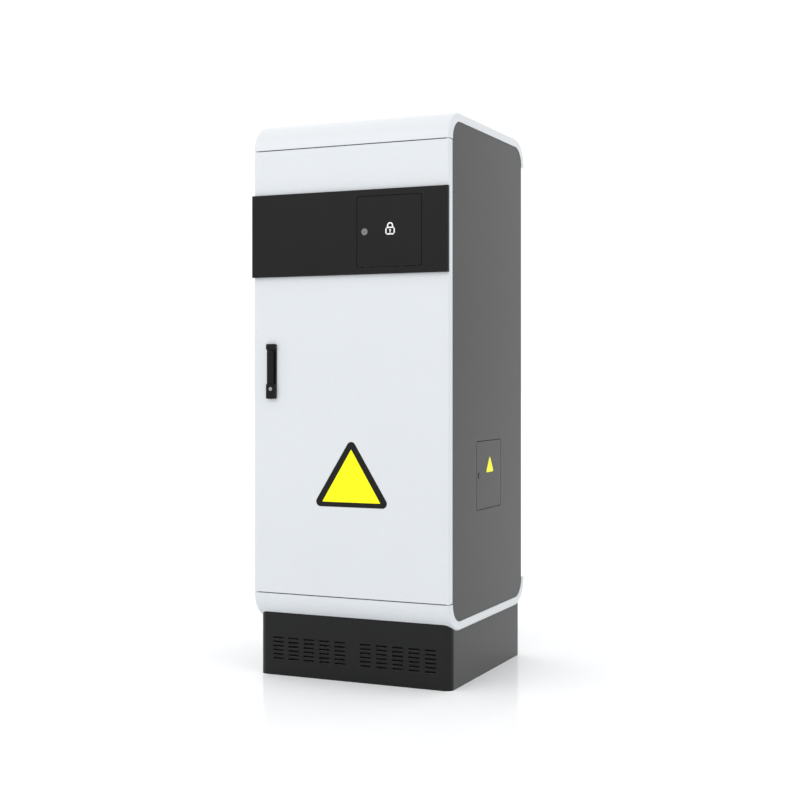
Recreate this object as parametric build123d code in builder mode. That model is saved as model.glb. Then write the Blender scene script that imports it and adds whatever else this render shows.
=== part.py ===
from build123d import *
import os

# Roadside cabinet for a traffic signal controller: a slotted steel plinth, a shell of two rounded caps and
# dark side panels, a front door hung on hidden pivots, and the equipment that they enclose.
# Millimetres. The origin is on the floor at the centre of the anchor bolts, with X to the right as seen
# from the front, Y to the back and Z up.

# Shell
WIDTH = 600.0
DEPTH = 600.0
HEIGHT = 1562.0
PLINTH_HEIGHT = 156.5
CAP_HEIGHT = 78.0  # also the radius of the caps' rolled corners
RIM = 24.5  # white border round each side panel
SKIN = 2.0  # sheet of the caps, the door and the panels
EDGE_RADIUS = 6.0  # rounding along the side edges of the caps and the door
PANEL_INSET = 1.5  # face of a side panel behind the face of the rim
PANEL_FIT = 0.5  # play of a panel in its place
RUNNING = 0.05  # radial clearance of a pin that turns in its hole
SLIDING = 0.3  # clearance round a piece that slides

# Plinth
PLINTH_INSET = 24.5  # front and back faces behind the shell's
PLINTH_SIDE_INSET = 5.5
PLINTH_CORNER = 22.0
PLINTH_WALL = 3.0
PLINTH_FLANGE = 60.0
ANCHOR_INSET = 34.5  # anchor hole from a cheek's outer face
ANCHOR_END = 45.5  # anchor hole from the plinth's front or rear face
ANCHOR_RADIUS = 8.0
SLOT_LENGTH = 33.0
SLOT_HEIGHT = 5.4
SLOT_PITCH_X = 48.75
SLOT_PITCH_Z = 11.7
SLOT_COLUMNS = 5
SLOT_ROWS = 6
SLOT_GROUP_X = 137.0  # centre of each group from the middle
SLOT_GROUP_Z = 76.5

# Cable entry through the bottom cap
ENTRY_WIDTH = 360.0
ENTRY_DEPTH = 280.0
ENTRY_LAP = 20.0
GLAND_PLATE = 3.0
GLAND_PITCH = 90.0
GLAND_COLUMNS = 3
GLAND_ROWS = 2
GLAND_THREAD = 16.0
GLAND_NUT = 22.0
GLAND_NUT_HEIGHT = 6.0
GLAND_DOME = 17.0
GLAND_DOME_HEIGHT = 15.0
GLAND_TAPER = 12.0
GLAND_FLAT_COUNT = 6

# Frame
POST_LEG = 30.0
POST_WALL = 3.0
POST_SETBACK = 4.0  # post behind the front and rear edges of the side panels
ARM_HEIGHT = 30.0
ARM_WALL = 3.0
ARM_END = 100.0  # lowest and highest arms from the caps' lips
RAIL_WALL = 2.5
RAIL_FLANGE = 65.0  # front of a rail, from the arms to the racks' opening
RAIL_SIDE = 38.0
RAIL_END = 50.0  # ends of the rails from the caps' lips
RACK_SETBACK = 81.5  # faces of the front rails behind the posts
RACK_HOLE_INSET = 7.05  # holes from the edge of a rail
RACK_HOLE = 9.0
RACK_UNIT = 44.45
PLATE_SETBACK = 50.5  # faces of the rear rails behind the inlet box
PLATE_WALL = 2.0
PLATE_MARGIN = 20.0  # side edges of the mounting plate from the arms
PLATE_END = 66.0  # foot of the mounting plate above the lower lip
PLATE_GAP = 34.0  # top of the mounting plate below the driver rack

# Front door
DOOR_GAP = 3.0
DOOR_DEPTH = 22.0
DOOR_LIP = 20.0
GASKET_INSET = 11.0
GASKET_WIDTH = 8.0
GASKET_PLAY = 0.5  # between the gasket and the frame
PIVOT_INSET_X = 7.0  # pivot from the right edge of the door
PIVOT_INSET_Y = 7.5  # pivot from the front of the door
PIVOT_RADIUS = 3.0
PIVOT_LENGTH = 26.0
PIVOT_BLOCK = 14.0
PIVOT_COLLAR = 5.0
PIVOT_HEAD = 4.0
CHANNEL_WIDTH = 30.0
CHANNEL_DEPTH = 26.0
CHANNEL_END = 40.0
CHANNEL_INSET = 43.0  # right channel from the door's right edge
POCKET_WIDTH = 280.0
POCKET_HEIGHT = 180.0
POCKET_DEPTH = 32.0
POCKET_WALL = 1.5
POCKET_BASE = 320.0  # above the foot of the door

# Black band and the flap in it
BAND_HEIGHT = 231.0
BAND_DEPTH = 11.0
BAND_DROP = 125.0  # below the top of the door
BAND_EDGE = 1.5
FLAP_OPENING = 195.0
FLAP_CORNER = 8.0
FLAP_GAP = 1.5
FLAP_INSET = 75.0  # opening from the right edge of the door
FLAP_WALL = 3.0
FLAP_AXIS_IN = 7.0  # hinge axis from the flap's edge
FLAP_AXIS_BACK = 3.5  # hinge axis behind the flap's face
KNUCKLE_RADIUS = 3.2
HINGE_PIN = 1.5
HINGE_REACH = 5.0
LOCK_INSET = 24.5  # lock from the edge of the flap's or the hatch's opening
LOCK_HEAD = 9.5
LOCK_PROUD = 1.5
LOCK_EDGE = 0.7
LOCK_BARREL = 7.5
TONGUE_REACH = 20.0
TONGUE_WIDTH = 10.0
TONGUE_WALL = 2.0
KEY_SLOT = 2.0
KEY_DEPTH = 0.8
KEEPER_REACH = 8.0
KEEPER_WALL = 2.5
KEEPER_HEIGHT = 30.0
KEEPER_GAP = 3.0  # between the back of a flap and its keeper
TONGUE_GAP = 0.9  # between a keeper and the tongue behind it

# Manual control panel behind the flap
BOX_FLANGE = 12.0
BOX_WALL = 1.5
BOX_DEPTH = 58.0
CONTROL_RECESS = 32.0  # control plate behind the door's skin
CONTROL_PLAY = 2.0
CONTROL_WALL = 2.0
BUTTON_RADIUS = 7.0
BUTTON_PROUD = 7.0
BUTTON_FLANGE = 9.0
BUTTON_FLANGE_WALL = 2.0
BUTTON_EDGE = 1.4
BUTTON_PITCH = 50.0
BUTTON_DROP = 45.0
BUTTON_COUNT = 3
KNOB_RADIUS = 12.0
KNOB_DEPTH = 13.0
KNOB_SPINDLE = 3.0
KNOB_TAIL = 8.0
KNOB_X = 48.0  # left of the middle of the plate
KNOB_RISE = 32.0
KNOB_BASE = 4.0
KNOB_GRIP = 8.0
KNOB_SHOULDER = 1.0  # base beyond the ends of the grip
BEZEL_WIDTH = 80.0
BEZEL_HEIGHT = 46.0
BEZEL_DEPTH = 3.0
BEZEL_BORDER = 5.0
BEZEL_X = 32.0  # right of the middle of the plate

# Swing handle and latch
HANDLE_INSET = 60.0  # from the left edge of the door
HANDLE_DROP = 187.5  # top of the handle below the band
HANDLE_LENGTH = 154.5
HANDLE_WIDTH = 29.0
HANDLE_RAISED = 11.0
HANDLE_BED = 6.0
HANDLE_CORNER = 4.0
HANDLE_TOP_BLOCK = 15.5
HANDLE_FOOT_BLOCK = 41.0
LEVER_WIDTH = 21.0
LEVER_THICK = 7.0
LEVER_PLAY = 2.0  # between the lever's ends and the raised ends of the base
LEVER_EDGE = 2.0
LEVER_SKIN = 1.2
SCOOP_LENGTH = 24.0
SCOOP_DEPTH = 3.0
LUG_WIDTH = 5.4
LUG_RADIUS = 1.9
LIFT_PIN = 1.0
LIFT_PIN_LENGTH = 14.0
HUB_RADIUS = 10.0
HUB_DEPTH = 3.0
SPINDLE_RADIUS = 5.0
CYLINDER_RADIUS = 5.3
CYLINDER_DEPTH = 7.0
CYLINDER_PROUD = 0.6
CYLINDER_RISE = 28.0  # above the foot of the handle
GEARBOX_WIDTH = 36.0
GEARBOX_HEIGHT = 80.0
GEARBOX_DEPTH = 20.0
GEARBOX_WALL = 3.0
ROD_WIDTH = 16.0
ROD_WALL = 4.0
ROD_BACK = 8.0  # rods behind the channel that carries their guides
ROD_INSERT = 32.0  # rod inside the gearbox at rest
ROD_SHORT = 6.0  # ends of the rods from the cross rails at rest
GUIDE_WIDTH = 28.0
GUIDE_DEPTH = 16.0
GUIDE_HEIGHT = 20.0
GUIDE_END = 60.0  # guides from the ends of the rods

# Hatch in the right side panel
HATCH_SIZE = 195.0
HATCH_CORNER = 8.0
HATCH_GAP = 2.0
HATCH_WALL = 2.5
HATCH_RISE = 31.175  # hatch above the middle of the bay under the racks
HATCH_AXIS_IN = 10.0
HATCH_AXIS_BACK = 5.0
INLET_DEPTH = 80.0
INLET_WALL = 2.0
INLET_FLANGE = 12.0
SOCKET_FLANGE = 70.0
SOCKET_FLANGE_WALL = 4.0
SOCKET_RADIUS = 26.0
SOCKET_BORE = 22.0
SOCKET_DEPTH = 34.0
SOCKET_PIN = 3.0
SOCKET_PIN_CIRCLE = 12.0
SOCKET_PIN_LENGTH = 24.0
SOCKET_PINS = 3

# Racks with plug-in modules
RACK_HEADROOM = 70.0  # fan tray below the top cap
RACK_UNITS = 6
RACK_PLAY = 5.5  # between a rack and the front rails
RACK_EAR = 21.3  # ears beyond the sides of a rack
RACK_DEPTH = 180.0
RACK_WALL = 2.0
RACK_GAP = 1.0
VENT_PITCH = 20.32  # slots in the top and the bottom of a rack
VENT_WIDTH = 10.0
VENT_LENGTH = 66.0
CARD_STEP = 5.08
CONTROLLER_CARDS = (16, 12, 8, 8, 12)  # widths in steps, with a blank plate in the rest of the rack
DRIVER_CARD = 10
CARD_GAP = 0.6
CARD_FACE = 2.5
CARD_BOARD = 1.6
CARD_DEPTH = 150.0
CARD_CLEAR = 4.0
CARD_PULL_WIDTH = 9.0
CARD_PULL_HEIGHT = 22.0
CARD_PULL_DEPTH = 14.0

# Fans
FAN_SIZE = 120.0
FAN_HEIGHT = 25.0
FAN_DUCT = 57.5
FAN_PITCH = 210.0
FAN_CORNER = 5.0
FAN_MOTOR = 20.0
FAN_BASE = 4.0
FAN_STRUT = 6.0
FAN_STRUTS = 4
FAN_PIN = 3.0
FAN_PIN_LENGTH = 12.0
ROTOR_HUB = 21.0
ROTOR_HEIGHT = 20.0
ROTOR_TIP = 55.5
ROTOR_BLADES = 7
BLADE_WALL = 2.0
BLADE_CHORD = 24.0
BLADE_PITCH = 50.0
BLADE_ROOT = 4.0  # blade inside the hub

# Devices on the mounting plate
DIN_WIDTH = 35.0
DIN_BASE = 27.0
DIN_DEPTH = 7.5
DIN_WALL = 1.0
DIN_LENGTH = 420.0
DIN_DROP = 80.0  # breaker row below the top of the plate
DIN_SPACING = 170.0
MODULE_WIDTH = 18.0
MODULE_HEIGHT = 85.0
MODULE_DEPTH = 44.0
NOSE_HEIGHT = 45.0
NOSE_DEPTH = 66.0
MAIN_BREAKER_X = -160.0
MAIN_BREAKER_MODULES = 2
BRANCH_BREAKER_X = -100.0
BRANCH_PITCH = 30.0
BRANCH_COUNT = 2
SURGE_X = 60.0
SURGE_MODULES = 4
SURGE_GROOVE = 1.5
TOGGLE_WIDTH = 8.0
TOGGLE_DRUM = 6.0
TOGGLE_TRUNNION = 2.0
TOGGLE_TRUNNION_LENGTH = 3.0
TOGGLE_LEVER = 18.0
TOGGLE_WALL = 4.5
TOGGLE_ANGLE = 30.0  # above level when on
TOGGLE_SLOT = 15.0
TERMINAL_LENGTH = 160.0
TERMINAL_GAP = 20.0  # between the two strips
TERMINAL_HEIGHT = 50.0
TERMINAL_DEPTH = 40.0
TERMINAL_STEP = 12.0
TERMINAL_PITCH = 10.0
TERMINAL_GROOVE = 2.0
EARTH_LENGTH = 360.0
EARTH_HEIGHT = 20.0
EARTH_WALL = 6.0
EARTH_STANDOFF = 22.0
EARTH_FOOT = 8.0
EARTH_FOOT_INSET = 30.0
EARTH_RISE = 40.0  # above the foot of the plate
EARTH_HOLE = 2.6
EARTH_HOLES = 12
LAMP_LENGTH = 300.0
LAMP_WIDTH = 20.0
LAMP_HEIGHT = 12.0
LAMP_SETBACK = 20.0  # middle of the lamp behind the posts' faces

# Planes and levels that the pieces share
SIDE = WIDTH / 2
BACK = DEPTH / 2
SHELL_HEIGHT = HEIGHT - PLINTH_HEIGHT
SHELL_MID = (HEIGHT + PLINTH_HEIGHT) / 2
WELL = PLINTH_HEIGHT + CAP_HEIGHT
HEAD = HEIGHT - CAP_HEIGHT
PANEL_X = SIDE - PANEL_INSET - SKIN
PANEL_Y = BACK - RIM
POST_Y = PANEL_Y - POST_SETBACK
LIP_EDGE = POST_Y - POST_LEG
FLOOR = PLINTH_HEIGHT + SKIN
PLINTH_X = SIDE - PLINTH_SIDE_INSET
PLINTH_Y = BACK - PLINTH_INSET
PLINTH_SEAM = PLINTH_Y - PLINTH_CORNER
ANCHOR_X = PLINTH_X - ANCHOR_INSET
ANCHOR_Y = PLINTH_Y - ANCHOR_END
DOOR_BASE = WELL + DOOR_GAP
DOOR_TOP = HEAD - DOOR_GAP
DOOR_HEIGHT = DOOR_TOP - DOOR_BASE
DOOR_INNER = BACK - SKIN  # distance of the skin's inner face from the middle plane
DOOR_REAR = BACK - DOOR_DEPTH
PIVOT_X = SIDE - PIVOT_INSET_X
PIVOT_Y = PIVOT_INSET_Y - BACK
BAND_TOP = DOOR_TOP - BAND_DROP
BAND_MID = BAND_TOP - BAND_HEIGHT / 2
BAND_FACE = BACK + BAND_DEPTH
FLAP_X = SIDE - FLAP_INSET - FLAP_OPENING / 2
FLAP_SIZE = FLAP_OPENING - 2 * FLAP_GAP
FLAP_AXIS_X = FLAP_X + FLAP_SIZE / 2 - FLAP_AXIS_IN
FLAP_AXIS_Y = FLAP_AXIS_BACK - BAND_FACE
FLAP_LOCK_X = FLAP_X - FLAP_OPENING / 2 + LOCK_INSET
FLAP_KEEPER = BAND_FACE - FLAP_WALL - KEEPER_GAP
FLAP_TONGUE = FLAP_KEEPER - KEEPER_WALL - TONGUE_GAP
CONTROL_FACE = DOOR_INNER - CONTROL_RECESS
CONTROL_SIZE = FLAP_OPENING - 2 * CONTROL_PLAY
BUTTON_Z = BAND_MID - BUTTON_DROP
HANDLE_X = HANDLE_INSET - SIDE
HANDLE_TOP = BAND_TOP - BAND_HEIGHT - HANDLE_DROP
HANDLE_FOOT = HANDLE_TOP - HANDLE_LENGTH
LEVER_TOP = HANDLE_TOP - HANDLE_TOP_BLOCK - LEVER_PLAY
TURN_Z = LEVER_TOP - LEVER_WIDTH / 2
LEVER_FOOT = HANDLE_FOOT + HANDLE_FOOT_BLOCK + LEVER_PLAY
HANDLE_FACE = BACK + HANDLE_RAISED
HANDLE_BED_FACE = BACK + HANDLE_BED
LEVER_REAR = HANDLE_BED_FACE + SLIDING
LIFT_Y = -LEVER_REAR - LEVER_THICK / 2
LIFT_Z = LEVER_TOP - LEVER_THICK / 2
CYLINDER_Z = HANDLE_FOOT + CYLINDER_RISE
CHANNEL_REAR = DOOR_INNER - CHANNEL_DEPTH
CHANNEL_X = SIDE - CHANNEL_INSET
ROD_FRONT = CHANNEL_REAR - ROD_BACK
ROD_TOP = HEAD - POST_LEG - ROD_SHORT
ROD_FOOT = WELL + POST_LEG + ROD_SHORT
GEARBOX_TOP = TURN_Z + GEARBOX_HEIGHT / 2
GEARBOX_FOOT = TURN_Z - GEARBOX_HEIGHT / 2
HATCH_LEAF = HATCH_SIZE - 2 * HATCH_GAP
HATCH_FACE = PANEL_X + SKIN
HATCH_AXIS_X = HATCH_FACE - HATCH_AXIS_BACK
HATCH_AXIS_Y = HATCH_LEAF / 2 - HATCH_AXIS_IN
HATCH_LOCK_Y = LOCK_INSET - HATCH_SIZE / 2
HATCH_KEEPER = HATCH_FACE - HATCH_WALL - KEEPER_GAP
HATCH_TONGUE = HATCH_KEEPER - KEEPER_WALL - TONGUE_GAP
INLET_BACK = PANEL_X - INLET_DEPTH + INLET_WALL
ARM_X = PANEL_X - POST_WALL
RAIL_X = ARM_X - ARM_WALL
RACK_OPENING = 2 * (RAIL_X - RAIL_FLANGE)
RACK_WIDTH = RACK_OPENING - 2 * RACK_PLAY
RACK_PANEL = RACK_WIDTH + 2 * RACK_EAR
RACK_Y = RACK_SETBACK - POST_Y
PLATE_Y = HATCH_SIZE / 2 + INLET_WALL + PLATE_SETBACK
RACK_FRONT = -RACK_Y + RACK_WALL
RACK_HEIGHT = RACK_UNITS * RACK_UNIT - RACK_GAP
TRAY_BASE = HEAD - RACK_HEADROOM - RACK_UNIT
CONTROLLER_BASE = TRAY_BASE - RACK_GAP - RACK_HEIGHT
DRIVER_BASE = CONTROLLER_BASE - RACK_GAP - RACK_HEIGHT
HATCH_Z = (WELL + DRIVER_BASE) / 2 + HATCH_RISE
PLATE_FOOT = WELL + PLATE_END
PLATE_TOP = DRIVER_BASE - PLATE_GAP
DIN_FACE = PLATE_Y - PLATE_WALL - DIN_DEPTH
BREAKER_Z = PLATE_TOP - DIN_DROP
TERMINAL_Z = BREAKER_Z - DIN_SPACING
TOGGLE_Y = DIN_FACE - NOSE_DEPTH + TOGGLE_DRUM
FAN_Y = RACK_Y + RACK_DEPTH / 2
BLADE_LENGTH = ROTOR_TIP - ROTOR_HUB + BLADE_ROOT
FAN_FOOT = TRAY_BASE + RACK_WALL

os.makedirs("parts", exist_ok=True)


def save(piece, name):
    """Label a finished piece and write it."""
    piece.part.label = name
    export_step(piece.part, f"parts/{name}.step")


def shell_block(inset):
    """The whole rounded shell as one block, drawn in by an inset on every side."""
    with BuildPart() as block:
        with BuildSketch(Plane.YZ):
            with Locations((0, SHELL_MID)):
                RectangleRounded(DEPTH - 2 * inset, SHELL_HEIGHT - 2 * inset, CAP_HEIGHT - inset)
        extrude(amount=SIDE - inset, both=True)
        fillet(block.faces().filter_by(Axis.X).edges(), EDGE_RADIUS - inset)
    return block.part


def angle_section(leg, wall):
    """Two legs of an angle that meet at its outer corner."""
    Rectangle(leg, wall, align=(Align.MAX, Align.MAX))
    Rectangle(wall, leg, align=(Align.MAX, Align.MAX))


# Plinth: folded front and rear panels that turn round the corners, between two channel-shaped cheeks. All
# of them are scribed to the rolled underside of the bottom cap.
outer_shell = shell_block(0)


def plinth_panel_outline():
    """Plan of the front panel with its two corner bends."""
    RectangleRounded(2 * PLINTH_X, 2 * PLINTH_Y, PLINTH_CORNER)
    RectangleRounded(
        2 * (PLINTH_X - PLINTH_WALL),
        2 * (PLINTH_Y - PLINTH_WALL),
        PLINTH_CORNER - PLINTH_WALL,
        mode=Mode.SUBTRACT,
    )
    with Locations((0, -PLINTH_Y)):
        Rectangle(WIDTH, 2 * PLINTH_CORNER, mode=Mode.INTERSECT)


with BuildPart() as plinth_front_panel:
    with BuildSketch():
        plinth_panel_outline()
    extrude(amount=WELL)
    add(outer_shell, mode=Mode.SUBTRACT)
    with BuildSketch(Plane.XZ.offset(PLINTH_Y)):
        with Locations((-SLOT_GROUP_X, SLOT_GROUP_Z), (SLOT_GROUP_X, SLOT_GROUP_Z)):
            with GridLocations(SLOT_PITCH_X, SLOT_PITCH_Z, SLOT_COLUMNS, SLOT_ROWS):
                Rectangle(SLOT_LENGTH, SLOT_HEIGHT)
    extrude(amount=-PLINTH_WALL, mode=Mode.SUBTRACT)
save(plinth_front_panel, "plinth_front_panel")

with BuildPart() as plinth_rear_panel:
    mirror(plinth_front_panel.part, about=Plane.XZ)
save(plinth_rear_panel, "plinth_rear_panel")

with BuildPart() as plinth_cheeks:
    with BuildSketch():
        with Locations((PLINTH_X, 0)):
            Rectangle(PLINTH_WALL, 2 * PLINTH_SEAM, align=(Align.MAX, Align.CENTER))
    extrude(amount=WELL)
    add(outer_shell, mode=Mode.SUBTRACT)
    with BuildSketch():
        with Locations((PLINTH_X, 0)):
            Rectangle(PLINTH_FLANGE, 2 * PLINTH_SEAM, align=(Align.MAX, Align.CENTER))
        with Locations((ANCHOR_X, -ANCHOR_Y), (ANCHOR_X, ANCHOR_Y)):
            Circle(ANCHOR_RADIUS, mode=Mode.SUBTRACT)
    extrude(amount=PLINTH_WALL)
    with BuildSketch(Plane.XY.offset(PLINTH_HEIGHT)):
        with Locations((PLINTH_X, 0)):
            Rectangle(PLINTH_FLANGE, 2 * (BACK - CAP_HEIGHT), align=(Align.MAX, Align.CENTER))
    extrude(amount=-PLINTH_WALL)
    mirror(about=Plane.YZ)
save(plinth_cheeks, "plinth_cheeks")

# Caps: rolled sheet hoods with a rim round each side opening and a lip at the front and the rear. The
# bottom cap is the top one turned over, with a cable opening in its floor.
inner_shell = shell_block(SKIN)

with BuildPart() as cap_hollow:
    add(inner_shell)
    split(bisect_by=Plane.XY.offset(HEAD + SKIN), keep=Keep.TOP)

with BuildPart() as top_cap:
    add(outer_shell)
    split(bisect_by=Plane.XY.offset(HEAD), keep=Keep.TOP)
    add(cap_hollow.part, mode=Mode.SUBTRACT)
    with BuildSketch(Plane.XY.offset(HEAD)):
        Rectangle(2 * PANEL_X, 2 * LIP_EDGE)
        with Locations((PIVOT_X, PIVOT_Y)):
            Circle(PIVOT_RADIUS)
    extrude(amount=SKIN, mode=Mode.SUBTRACT)
    with BuildSketch(Plane.YZ.offset(PANEL_X), Plane.YZ.offset(-SIDE)):
        with Locations((0, SHELL_MID)):
            RectangleRounded(2 * PANEL_Y, SHELL_HEIGHT - 2 * RIM, CAP_HEIGHT - RIM)
    extrude(amount=SIDE - PANEL_X, mode=Mode.SUBTRACT)
save(top_cap, "top_cap")

with BuildPart() as bottom_cap:
    mirror(top_cap.part, about=Plane.XY.offset(SHELL_MID))
    with BuildSketch(Plane.XY.offset(PLINTH_HEIGHT)):
        Rectangle(ENTRY_WIDTH, ENTRY_DEPTH)
    extrude(amount=SKIN, mode=Mode.SUBTRACT)
save(bottom_cap, "bottom_cap")

# Gland plate over the cable opening, with hexagonal cable glands clamped through it.
with BuildPart() as gland_plate:
    with BuildSketch(Plane.XY.offset(FLOOR)):
        Rectangle(ENTRY_WIDTH + 2 * ENTRY_LAP, ENTRY_DEPTH + 2 * ENTRY_LAP)
        with GridLocations(GLAND_PITCH, GLAND_PITCH, GLAND_COLUMNS, GLAND_ROWS):
            Circle(GLAND_THREAD, mode=Mode.SUBTRACT)
    extrude(amount=GLAND_PLATE)
save(gland_plate, "gland_plate")

with BuildPart() as cable_glands:
    with BuildSketch(Plane.XY.offset(FLOOR - GLAND_NUT_HEIGHT)):
        with GridLocations(GLAND_PITCH, GLAND_PITCH, GLAND_COLUMNS, GLAND_ROWS):
            RegularPolygon(GLAND_NUT, GLAND_FLAT_COUNT)
    extrude(amount=GLAND_NUT_HEIGHT)
    with BuildSketch(Plane.XY.offset(FLOOR)):
        with GridLocations(GLAND_PITCH, GLAND_PITCH, GLAND_COLUMNS, GLAND_ROWS):
            Circle(GLAND_THREAD)
    extrude(amount=GLAND_PLATE)
    with BuildSketch(Plane.XY.offset(FLOOR + GLAND_PLATE)):
        with GridLocations(GLAND_PITCH, GLAND_PITCH, GLAND_COLUMNS, GLAND_ROWS):
            RegularPolygon(GLAND_NUT, GLAND_FLAT_COUNT)
    extrude(amount=GLAND_NUT_HEIGHT)
    with BuildSketch(Plane.XY.offset(FLOOR + GLAND_PLATE + GLAND_NUT_HEIGHT)):
        with GridLocations(GLAND_PITCH, GLAND_PITCH, GLAND_COLUMNS, GLAND_ROWS):
            Circle(GLAND_DOME)
    extrude(amount=GLAND_DOME_HEIGHT, taper=GLAND_TAPER)
save(cable_glands, "cable_glands")

# Frame: angle posts that stand between the caps' lips, angle rails across the front and the rear, flat arms
# from post to post, and rack rails on the arms.
with BuildPart() as corner_posts:
    with BuildSketch(Plane.XY.offset(WELL)):
        with Locations((PANEL_X, POST_Y)):
            angle_section(POST_LEG, POST_WALL)
    extrude(amount=HEAD - WELL)
    mirror(about=Plane.YZ)
    mirror(about=Plane.XZ)
save(corner_posts, "corner_posts")

with BuildPart() as cross_rails:
    with BuildSketch(Plane.YZ):
        with Locations((POST_Y, HEAD)):
            angle_section(POST_LEG, POST_WALL)
    extrude(amount=PANEL_X - POST_LEG, both=True)
    mirror(about=Plane.XZ)
    mirror(about=Plane.XY.offset(SHELL_MID))
save(cross_rails, "cross_rails")

with BuildPart() as side_arms:
    with BuildSketch(Plane.YZ.offset(RAIL_X)):
        with Locations((0, WELL + ARM_END), (0, SHELL_MID), (0, HEAD - ARM_END)):
            Rectangle(2 * (POST_Y - POST_WALL), ARM_HEIGHT)
    extrude(amount=ARM_WALL)
    mirror(about=Plane.YZ)
save(side_arms, "side_arms")

rail_length = HEAD - WELL - 2 * RAIL_END
with BuildPart() as rack_rails:
    with BuildSketch(Plane.XY.offset(WELL + RAIL_END)):
        with Locations((RAIL_X, RACK_Y), (RAIL_X, PLATE_Y)):
            Rectangle(RAIL_FLANGE, RAIL_WALL, align=(Align.MAX, Align.MIN))
            Rectangle(RAIL_WALL, RAIL_SIDE, align=(Align.MAX, Align.MIN))
    extrude(amount=rail_length)
    with BuildSketch(Plane.XZ.offset(-RACK_Y)):
        with Locations((RACK_OPENING / 2 + RACK_HOLE_INSET, SHELL_MID)):
            with GridLocations(RACK_UNIT, RACK_UNIT, 1, int(rail_length // RACK_UNIT)):
                Rectangle(RACK_HOLE, RACK_HOLE)
    extrude(amount=-RAIL_WALL, mode=Mode.SUBTRACT)
    mirror(about=Plane.YZ)
save(rack_rails, "rack_rails")


# Side panels: flat sheets with rounded corners that lie in the caps' rims against the posts. The right one
# has the opening of the hatch.
def side_panel_outline():
    """Outline of a side panel in its rim."""
    with Locations((0, SHELL_MID)):
        RectangleRounded(
            2 * (PANEL_Y - PANEL_FIT),
            SHELL_HEIGHT - 2 * (RIM + PANEL_FIT),
            CAP_HEIGHT - RIM - PANEL_FIT,
        )


with BuildPart() as left_side_panel:
    with BuildSketch(Plane.YZ.offset(-PANEL_X)):
        side_panel_outline()
    extrude(amount=-SKIN)
save(left_side_panel, "left_side_panel")

with BuildPart() as right_side_panel:
    with BuildSketch(Plane.YZ.offset(PANEL_X)):
        side_panel_outline()
        with Locations((0, HATCH_Z)):
            RectangleRounded(HATCH_SIZE, HATCH_SIZE, HATCH_CORNER, mode=Mode.SUBTRACT)
    extrude(amount=SKIN)
save(right_side_panel, "right_side_panel")

with BuildPart() as rear_panel:
    with BuildSketch(Plane.XZ.offset(-POST_Y)):
        with Locations((0, SHELL_MID)):
            Rectangle(2 * (PANEL_X - PANEL_FIT), HEAD - WELL - 2 * PANEL_FIT)
    extrude(amount=-SKIN)
save(rear_panel, "rear_panel")

# Front door: a folded pan with returned lips, hung on pins that stand in the caps' lips.
with BuildPart() as door_panel:
    with BuildSketch(Plane.XY.offset(DOOR_BASE)) as door_outline:
        with Locations((0, -BACK)):
            Rectangle(WIDTH, DOOR_DEPTH, align=(Align.CENTER, Align.MIN))
        fillet(door_outline.vertices().group_by(Axis.Y)[0], EDGE_RADIUS)
    extrude(amount=DOOR_HEIGHT)
    with BuildSketch(Plane.XY.offset(DOOR_BASE + SKIN)) as door_hollow:
        with Locations((0, -DOOR_INNER)):
            Rectangle(WIDTH - 2 * SKIN, DOOR_DEPTH - 2 * SKIN, align=(Align.CENTER, Align.MIN))
        fillet(door_hollow.vertices().group_by(Axis.Y)[0], EDGE_RADIUS - SKIN)
    extrude(amount=DOOR_HEIGHT - 2 * SKIN, mode=Mode.SUBTRACT)
    with BuildSketch(Plane.XZ.offset(DOOR_REAR)):
        with Locations((0, SHELL_MID)):
            Rectangle(WIDTH - 2 * DOOR_LIP, DOOR_HEIGHT - 2 * DOOR_LIP)
    extrude(amount=SKIN, mode=Mode.SUBTRACT)
    with BuildSketch(Plane.XZ.offset(BACK)):
        with Locations((FLAP_X, BAND_MID)):
            RectangleRounded(FLAP_OPENING, FLAP_OPENING, FLAP_CORNER)
        with Locations((HANDLE_X, TURN_Z)):
            Circle(SPINDLE_RADIUS + SLIDING)
    extrude(amount=-SKIN, mode=Mode.SUBTRACT)
    with BuildSketch(Plane.XY.offset(DOOR_BASE)):
        with Locations((PIVOT_X, PIVOT_Y)):
            Circle(PIVOT_RADIUS + SLIDING)
    extrude(amount=DOOR_HEIGHT, mode=Mode.SUBTRACT)
save(door_panel, "door_panel")

with BuildPart() as pivot_blocks:
    with BuildSketch(Plane.XY.offset(DOOR_BASE + SKIN)) as block_outline:
        with Locations((SIDE - SKIN, -DOOR_INNER)):
            Rectangle(PIVOT_BLOCK, PIVOT_BLOCK, align=(Align.MAX, Align.MIN))
        fillet(block_outline.vertices().group_by(Axis.X)[-1].sort_by(Axis.Y)[0], EDGE_RADIUS)
        with Locations((PIVOT_X, PIVOT_Y)):
            Circle(PIVOT_RADIUS + RUNNING, mode=Mode.SUBTRACT)
    extrude(amount=PIVOT_LENGTH)
    mirror(about=Plane.XY.offset(SHELL_MID))
save(pivot_blocks, "pivot_blocks")

with BuildPart() as door_pivots:
    with Locations((PIVOT_X, PIVOT_Y, WELL - SKIN - PIVOT_HEAD)):
        Cylinder(
            PIVOT_COLLAR - PANEL_FIT, PIVOT_HEAD, align=(Align.CENTER, Align.CENTER, Align.MIN)
        )
        Cylinder(
            PIVOT_RADIUS,
            PIVOT_HEAD + 2 * SKIN + DOOR_GAP + PIVOT_LENGTH,
            align=(Align.CENTER, Align.CENTER, Align.MIN),
        )
    with Locations((PIVOT_X, PIVOT_Y, WELL)):
        Cylinder(PIVOT_COLLAR, DOOR_GAP - SLIDING, align=(Align.CENTER, Align.CENTER, Align.MIN))
    mirror(about=Plane.XY.offset(SHELL_MID))
save(door_pivots, "door_pivots")

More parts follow.
